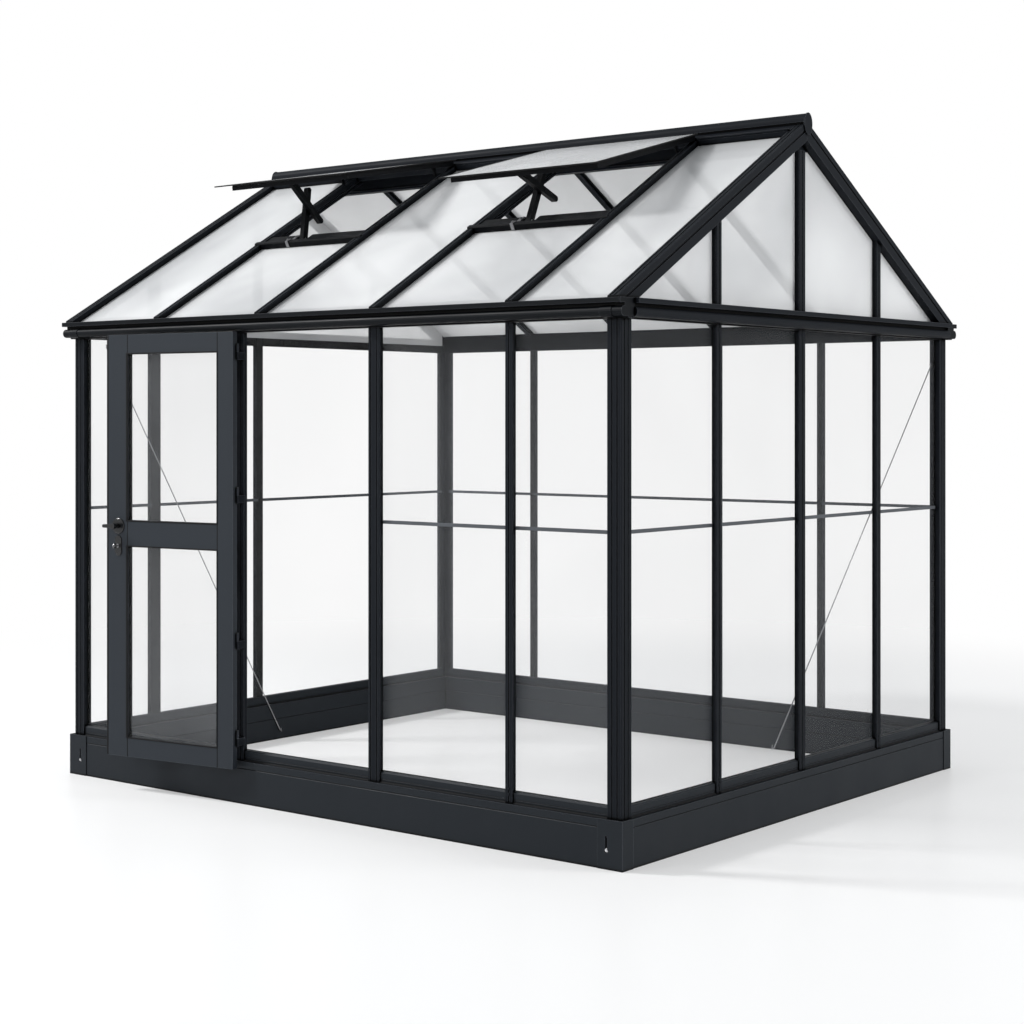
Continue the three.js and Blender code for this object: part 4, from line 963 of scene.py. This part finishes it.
def stadium(half, radius, sides):
    """Points round a plate with straight sides and round ends, evenly spread in angle."""
    return [(x, z + (half if z > 1e-9 else -half)) for x, z in ring_outline(radius, sides)]


def door_plate(bm, centre, outline, hole_radius, face, away):
    """A cover over the leaf's raised plate: skirt, rounded rim, flat top and a hole."""
    hole = ring_outline(hole_radius, len(outline))
    sections = ((outline, SKIRT_FLARE, PLATE_FOOT), (outline, SKIRT_FLARE, PLATE_SKIRT),
                (outline, 1.0, PLATE_TOP), (hole, 1.0, PLATE_TOP), (hole, 1.0, PLATE_UNDERSIDE),
                (outline, INNER_FLARE, PLATE_UNDERSIDE), (outline, INNER_FLARE, PLATE_FOOT))
    skin(bm, [[on_door(centre[0] + x * grow, face + away * lift, centre[1] + z * grow) for x, z in shape]
              for shape, grow, lift in sections], endless=True)


rose = ring_outline(ROSE_RADIUS, PLATE_SIDES)
escutcheon = stadium(ESCUTCHEON_HALF_LENGTH, ESCUTCHEON_RADIUS, PLATE_SIDES)
bm = bmesh.new()
for face, away in LEAF_SIDES:
    door_plate(bm, SPINDLE, rose, ROSE_HOLE, face, away)
    door_plate(bm, CYLINDER, escutcheon, ESCUTCHEON_HOLE, face, away)
new_piece("door_lock_plates", mesh_from(bm, "door_lock_plates"), coated_lever, "door")

# %% [markdown]
# ## Bolts
# A bolt shows a washer, a hexagon head and a shallow dome on top. A thread would never be seen.
# Three short prisms stacked on each other are enough, each a share of the head's radius.

# %% Bolts
BOLT_STACK = ((1.35, 20, 0.0, 0.0012), (1.0, 6, 0.0012, 0.0046), (0.72, 16, 0.0046, 0.0052))


def add_bolt(bm, centre, axis, side, up, radius):
    """The stack gives (share of the radius, sides, from, to) for each prism, outwards along axis."""
    for share, sides, low, high in BOLT_STACK:
        outline = ring_outline(radius * share, sides)
        add_prism(bm, outline, centre + axis * low, centre + axis * high, side, up)


print("a bolt head is", BOLT_STACK[-1][-1] * 1000, "mm high")

# %% [markdown]
# ## Clips at the foot of the openers
# A bent spring clip of dull steel holds each opener's foot down on the vent sill. It runs over the
# sill's ribs and hooks round its nose, with two hexagon bolts through it. Next to it the pivot pin
# ends in a flat rivet head. Bending a strip with a modifier takes more steps than walking along
# its path and giving each bend four points.

# %% Clips at the foot of the openers
CLIP_PATH = [(0.722, -0.0035), (0.781, -0.0035), (0.784, 0.0075), (0.8065, 0.0075), (0.8075, -0.0180)]
CLIP_THICKNESS = 0.0016
CLIP_FROM_PIVOT = (-0.057, -0.041)
CLIP_BOLTS = ((0.740, -0.0019, 0.0055), (0.795, 0.0091, 0.0045))
RIVET_RADIUS = 0.0075
RIVET_SIDES = 20
RIVET_HEIGHT = 0.0014
RIVET_SET_BACK = 0.0008


def strap(bm, path, thickness, x0, x1):
    """A bent strip on the front slope: path in (s, n), carried from x0 to x1."""
    points = [Vector(p) for p in path]
    rings = []
    for point, before, after in zip(points, points[:1] + points, points[1:] + points[-1:]):
        run = (after - before).normalized()
        outside = point + Vector((-run.y, run.x)) * thickness
        rings.append([on_slope(FRONT_SLOPE, x, q.x, q.y)
                      for x, q in ((x0, point), (x0, outside), (x1, outside), (x1, point))])
    skin(bm, rings)


def opener_clip(number, foot):
    down, out = slope_frame(FRONT_SLOPE)
    middle = foot.x + sum(CLIP_FROM_PIVOT) / 2
    bm = bmesh.new()
    strap(bm, CLIP_PATH, CLIP_THICKNESS, foot.x + CLIP_FROM_PIVOT[0], foot.x + CLIP_FROM_PIVOT[1])
    for s, n, radius in CLIP_BOLTS:
        add_bolt(bm, on_slope(FRONT_SLOPE, middle, s, n), out, X_AXIS, down, radius)
    name = f"opener_clip_{number}"
    new_piece(name, mesh_from(bm, name), clip_metal, "house")


def foot_rivet(number, foot):
    head = foot - X_AXIS * RIVET_SET_BACK
    bm = bmesh.new()
    add_prism(bm, ring_outline(RIVET_RADIUS, RIVET_SIDES), head, head + X_AXIS * RIVET_HEIGHT, Y_AXIS, UP)
    name = f"opener_foot_rivet_{number}"
    new_piece(name, mesh_from(bm, name), zinc, "house")


for number in (1, 2):
    pivot = next(j for j in frame["joints"] if j["name"] == f"opener_lower_arm_{number}_pivot")
    opener_clip(number, Vector(pivot["pos_m"]))
    foot_rivet(number, Vector(pivot["pos_m"]))

# %% [markdown]
# ## Screws
# Every upright is held to the sill and to the eave by screws with a domed head, painted like the
# bar. The heads are lathed from one half profile, which is quicker than adding a sphere and cutting
# it, and the same helper serves for all four walls.

# %% Screws
SCREW_PROFILE = [(0.0028, 0.0030), (0.0048, 0.0021), (0.0058, 0.0006), (0.0058, -0.0004)]
SCREW_TOP = 0.0032
SCREW_SIDES = 14
SCREWS_ABOVE_FOOT = (0.032, 0.052)
SCREW_AT_EAVE = 1.872


def add_screw(bm, centre, axis, side, up):
    rings = [[bm.verts.new(centre + axis * height + side * a + up * b)
              for a, b in ring_outline(radius, SCREW_SIDES)] for radius, height in SCREW_PROFILE]
    tip = bm.verts.new(centre + axis * SCREW_TOP)
    for i in range(SCREW_SIDES):
        j = (i + 1) % SCREW_SIDES
        bm.faces.new((tip, rings[0][i], rings[0][j]))
        for a, b in zip(rings, rings[1:]):
            bm.faces.new((a[i], b[i], b[j], a[j]))
    bm.faces.new(list(reversed(rings[-1])))


def upright_screws(name, wall):
    across = 1 - wall.along
    bm = bmesh.new()
    for node_name in wall.bars:
        low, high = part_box(node_name)
        face = high[across] if wall.outward > 0 else low[across]
        for z in (*(low.z + lift for lift in SCREWS_ABOVE_FOOT), SCREW_AT_EAVE):
            point = wall_point(wall.along, middle_of(node_name, wall.along), face, z)
            add_screw(bm, point, AXES[across] * wall.outward, AXES[wall.along], UP)
    new_piece(name, mesh_from(bm, name), coated_bar, "house")


for wall_name, wall in WALLS.items():
    upright_screws(f"wall_screws_{wall_name}", wall)

# %% [markdown]
# ## Anchor bolts in the keyholes
# Each long rail of the base has a keyhole near both ends. The bolt that ties the rail to the
# corner shows in its round foot as a small bright head. It is the same bolt as on the clips, set
# back into the hole, so nothing new has to be modelled.

# %% Anchor bolts in the keyholes
KEYHOLE_X = 1.404
KEYHOLE_FOOT = 0.066
BOLT_RECESS = 0.0042
ANCHOR_RADIUS = 0.0052

bm = bmesh.new()
for wall_name in ("front", "back"):
    outward = WALLS[wall_name].outward
    low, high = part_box(f"base_rail_{wall_name}")
    face = low.y if outward < 0 else high.y
    for x in (-KEYHOLE_X, KEYHOLE_X):
        centre = Vector((x, face - outward * BOLT_RECESS, KEYHOLE_FOOT))
        add_bolt(bm, centre, Y_AXIS * outward, X_AXIS, UP, ANCHOR_RADIUS)
new_piece("anchor_bolts", mesh_from(bm, "anchor_bolts"), zinc, "house")

# %% [markdown]
# ## The studio floor
# The greenhouse stands on a seamless white floor. More light on a grey floor would also bleach the
# house. So the floor is a real surface that takes the shadow, and to the camera it also glows a
# little. The glow grows with the distance from the house, until the floor is as white as the
# backdrop and its far edge is gone.

# %% The studio floor
FLOOR_SIZE = 60.0
FLOOR_DROP = 0.0005
FLOOR_COLOR = (0.90, 0.90, 0.90)
FLOOR_GLOW = 0.33
FADE = (3.0, 6.5)


def floor_material():
    material, tree, shader = start_material("floor_white")
    fill(tree, shader.inputs, {"Base Color": opaque(FLOOR_COLOR), "Roughness": 0.35})
    rays = put(tree, "ShaderNodeLightPath").outputs
    seen = calc(tree, "MAXIMUM", rays["Is Camera Ray"], rays["Is Glossy Ray"])
    seen = calc(tree, "MAXIMUM", seen, rays["Is Transmission Ray"])
    distance = put(tree, "ShaderNodeVectorMath", {0: own_place(tree)}, operation="LENGTH").outputs["Value"]
    share = stretch(tree, distance, FADE, (FLOOR_GLOW, 1.0), interpolation_type="SMOOTHSTEP")
    glow = put(tree, "ShaderNodeEmission", {"Color": (1, 1, 1, 1), "Strength": 1.0}).outputs[0]
    mixed = put(tree, "ShaderNodeMixShader",
                {0: calc(tree, "MULTIPLY", seen, share), 1: shader.outputs[0], 2: glow}).outputs[0]
    fill(tree, tree.nodes["Material Output"].inputs, {"Surface": mixed})
    return material


bm = bmesh.new()
bmesh.ops.create_grid(bm, x_segments=1, y_segments=1, size=FLOOR_SIZE)
floor = bpy.data.objects.new("studio_floor", mesh_from(bm, "studio_floor"))
floor.location.z = -FLOOR_DROP
bpy.context.scene.collection.objects.link(floor)
floor.data.materials.append(floor_material())

# %% [markdown]
# ## The world
# A white studio lights from all sides. The world gives that soft fill at a moderate strength. To
# the camera, and through clear sheets, it shows plain white instead, so that the backdrop is white
# without more light on the house.

# %% The world
WORLD_LIGHT = 0.62
WORLD_COLOR = (0.96, 0.98, 1.0)

world = bpy.data.worlds.new("studio_world")
world.use_nodes = True
tree = world.node_tree
background = tree.nodes["Background"]
fill(tree, background.inputs, {"Color": opaque(WORLD_COLOR), "Strength": WORLD_LIGHT})
rays = put(tree, "ShaderNodeLightPath").outputs
seen = calc(tree, "MAXIMUM", rays["Is Camera Ray"], rays["Is Transmission Ray"])
backdrop = put(tree, "ShaderNodeBackground", {"Color": (1, 1, 1, 1), "Strength": 1.0}).outputs[0]
mixed = put(tree, "ShaderNodeMixShader", {0: seen, 1: background.outputs[0], 2: backdrop}).outputs[0]
fill(tree, tree.nodes["World Output"].inputs, {"Surface": mixed})
bpy.context.scene.world = world
print("world light:", WORLD_LIGHT)

# %% [markdown]
# ## The lamps
# Three soft lamps do the rest. The key lamp stands high on the left in front of the door wall and
# lets the shadow fall to the right. A wide, weak one in front lifts the grey of the door, and one
# on the right whitens the hazy sheets of the gable. Hard lamps would draw every bar's shadow on
# the floor, so all three are discs.

# %% The lamps
def soft_lamp(name, place, aim, size, power):
    data = bpy.data.lights.new(name, "AREA")
    data.shape = "DISK"
    data.size = size
    data.energy = power
    lamp = bpy.data.objects.new(name, data)
    lamp.location = place
    lamp.rotation_euler = (Vector(aim) - Vector(place)).to_track_quat("-Z", "Y").to_euler()
    bpy.context.scene.collection.objects.link(lamp)
    print("lamp:", name, "with", power, "W")


soft_lamp("key_lamp", place=(-7.0, -5.0, 8.0), aim=(0.0, 0.0, 0.8), size=1.9, power=980.0)
soft_lamp("door_lamp", place=(-3.0, -9.0, 4.0), aim=(-0.5, -1.2, 1.2), size=4.0, power=160.0)
soft_lamp("gable_lamp", place=(9.0, 3.4, 4.5), aim=(1.4, 0.0, 1.8), size=3.2, power=380.0)

# %% [markdown]
# ## Colour management
# The Standard view keeps colours as they are written, so that near-black paint stays near black
# and the white floor stays white. A filmic view would lift the one and grey the other.

# %% Finish
bpy.context.scene.view_settings.view_transform = "Standard"
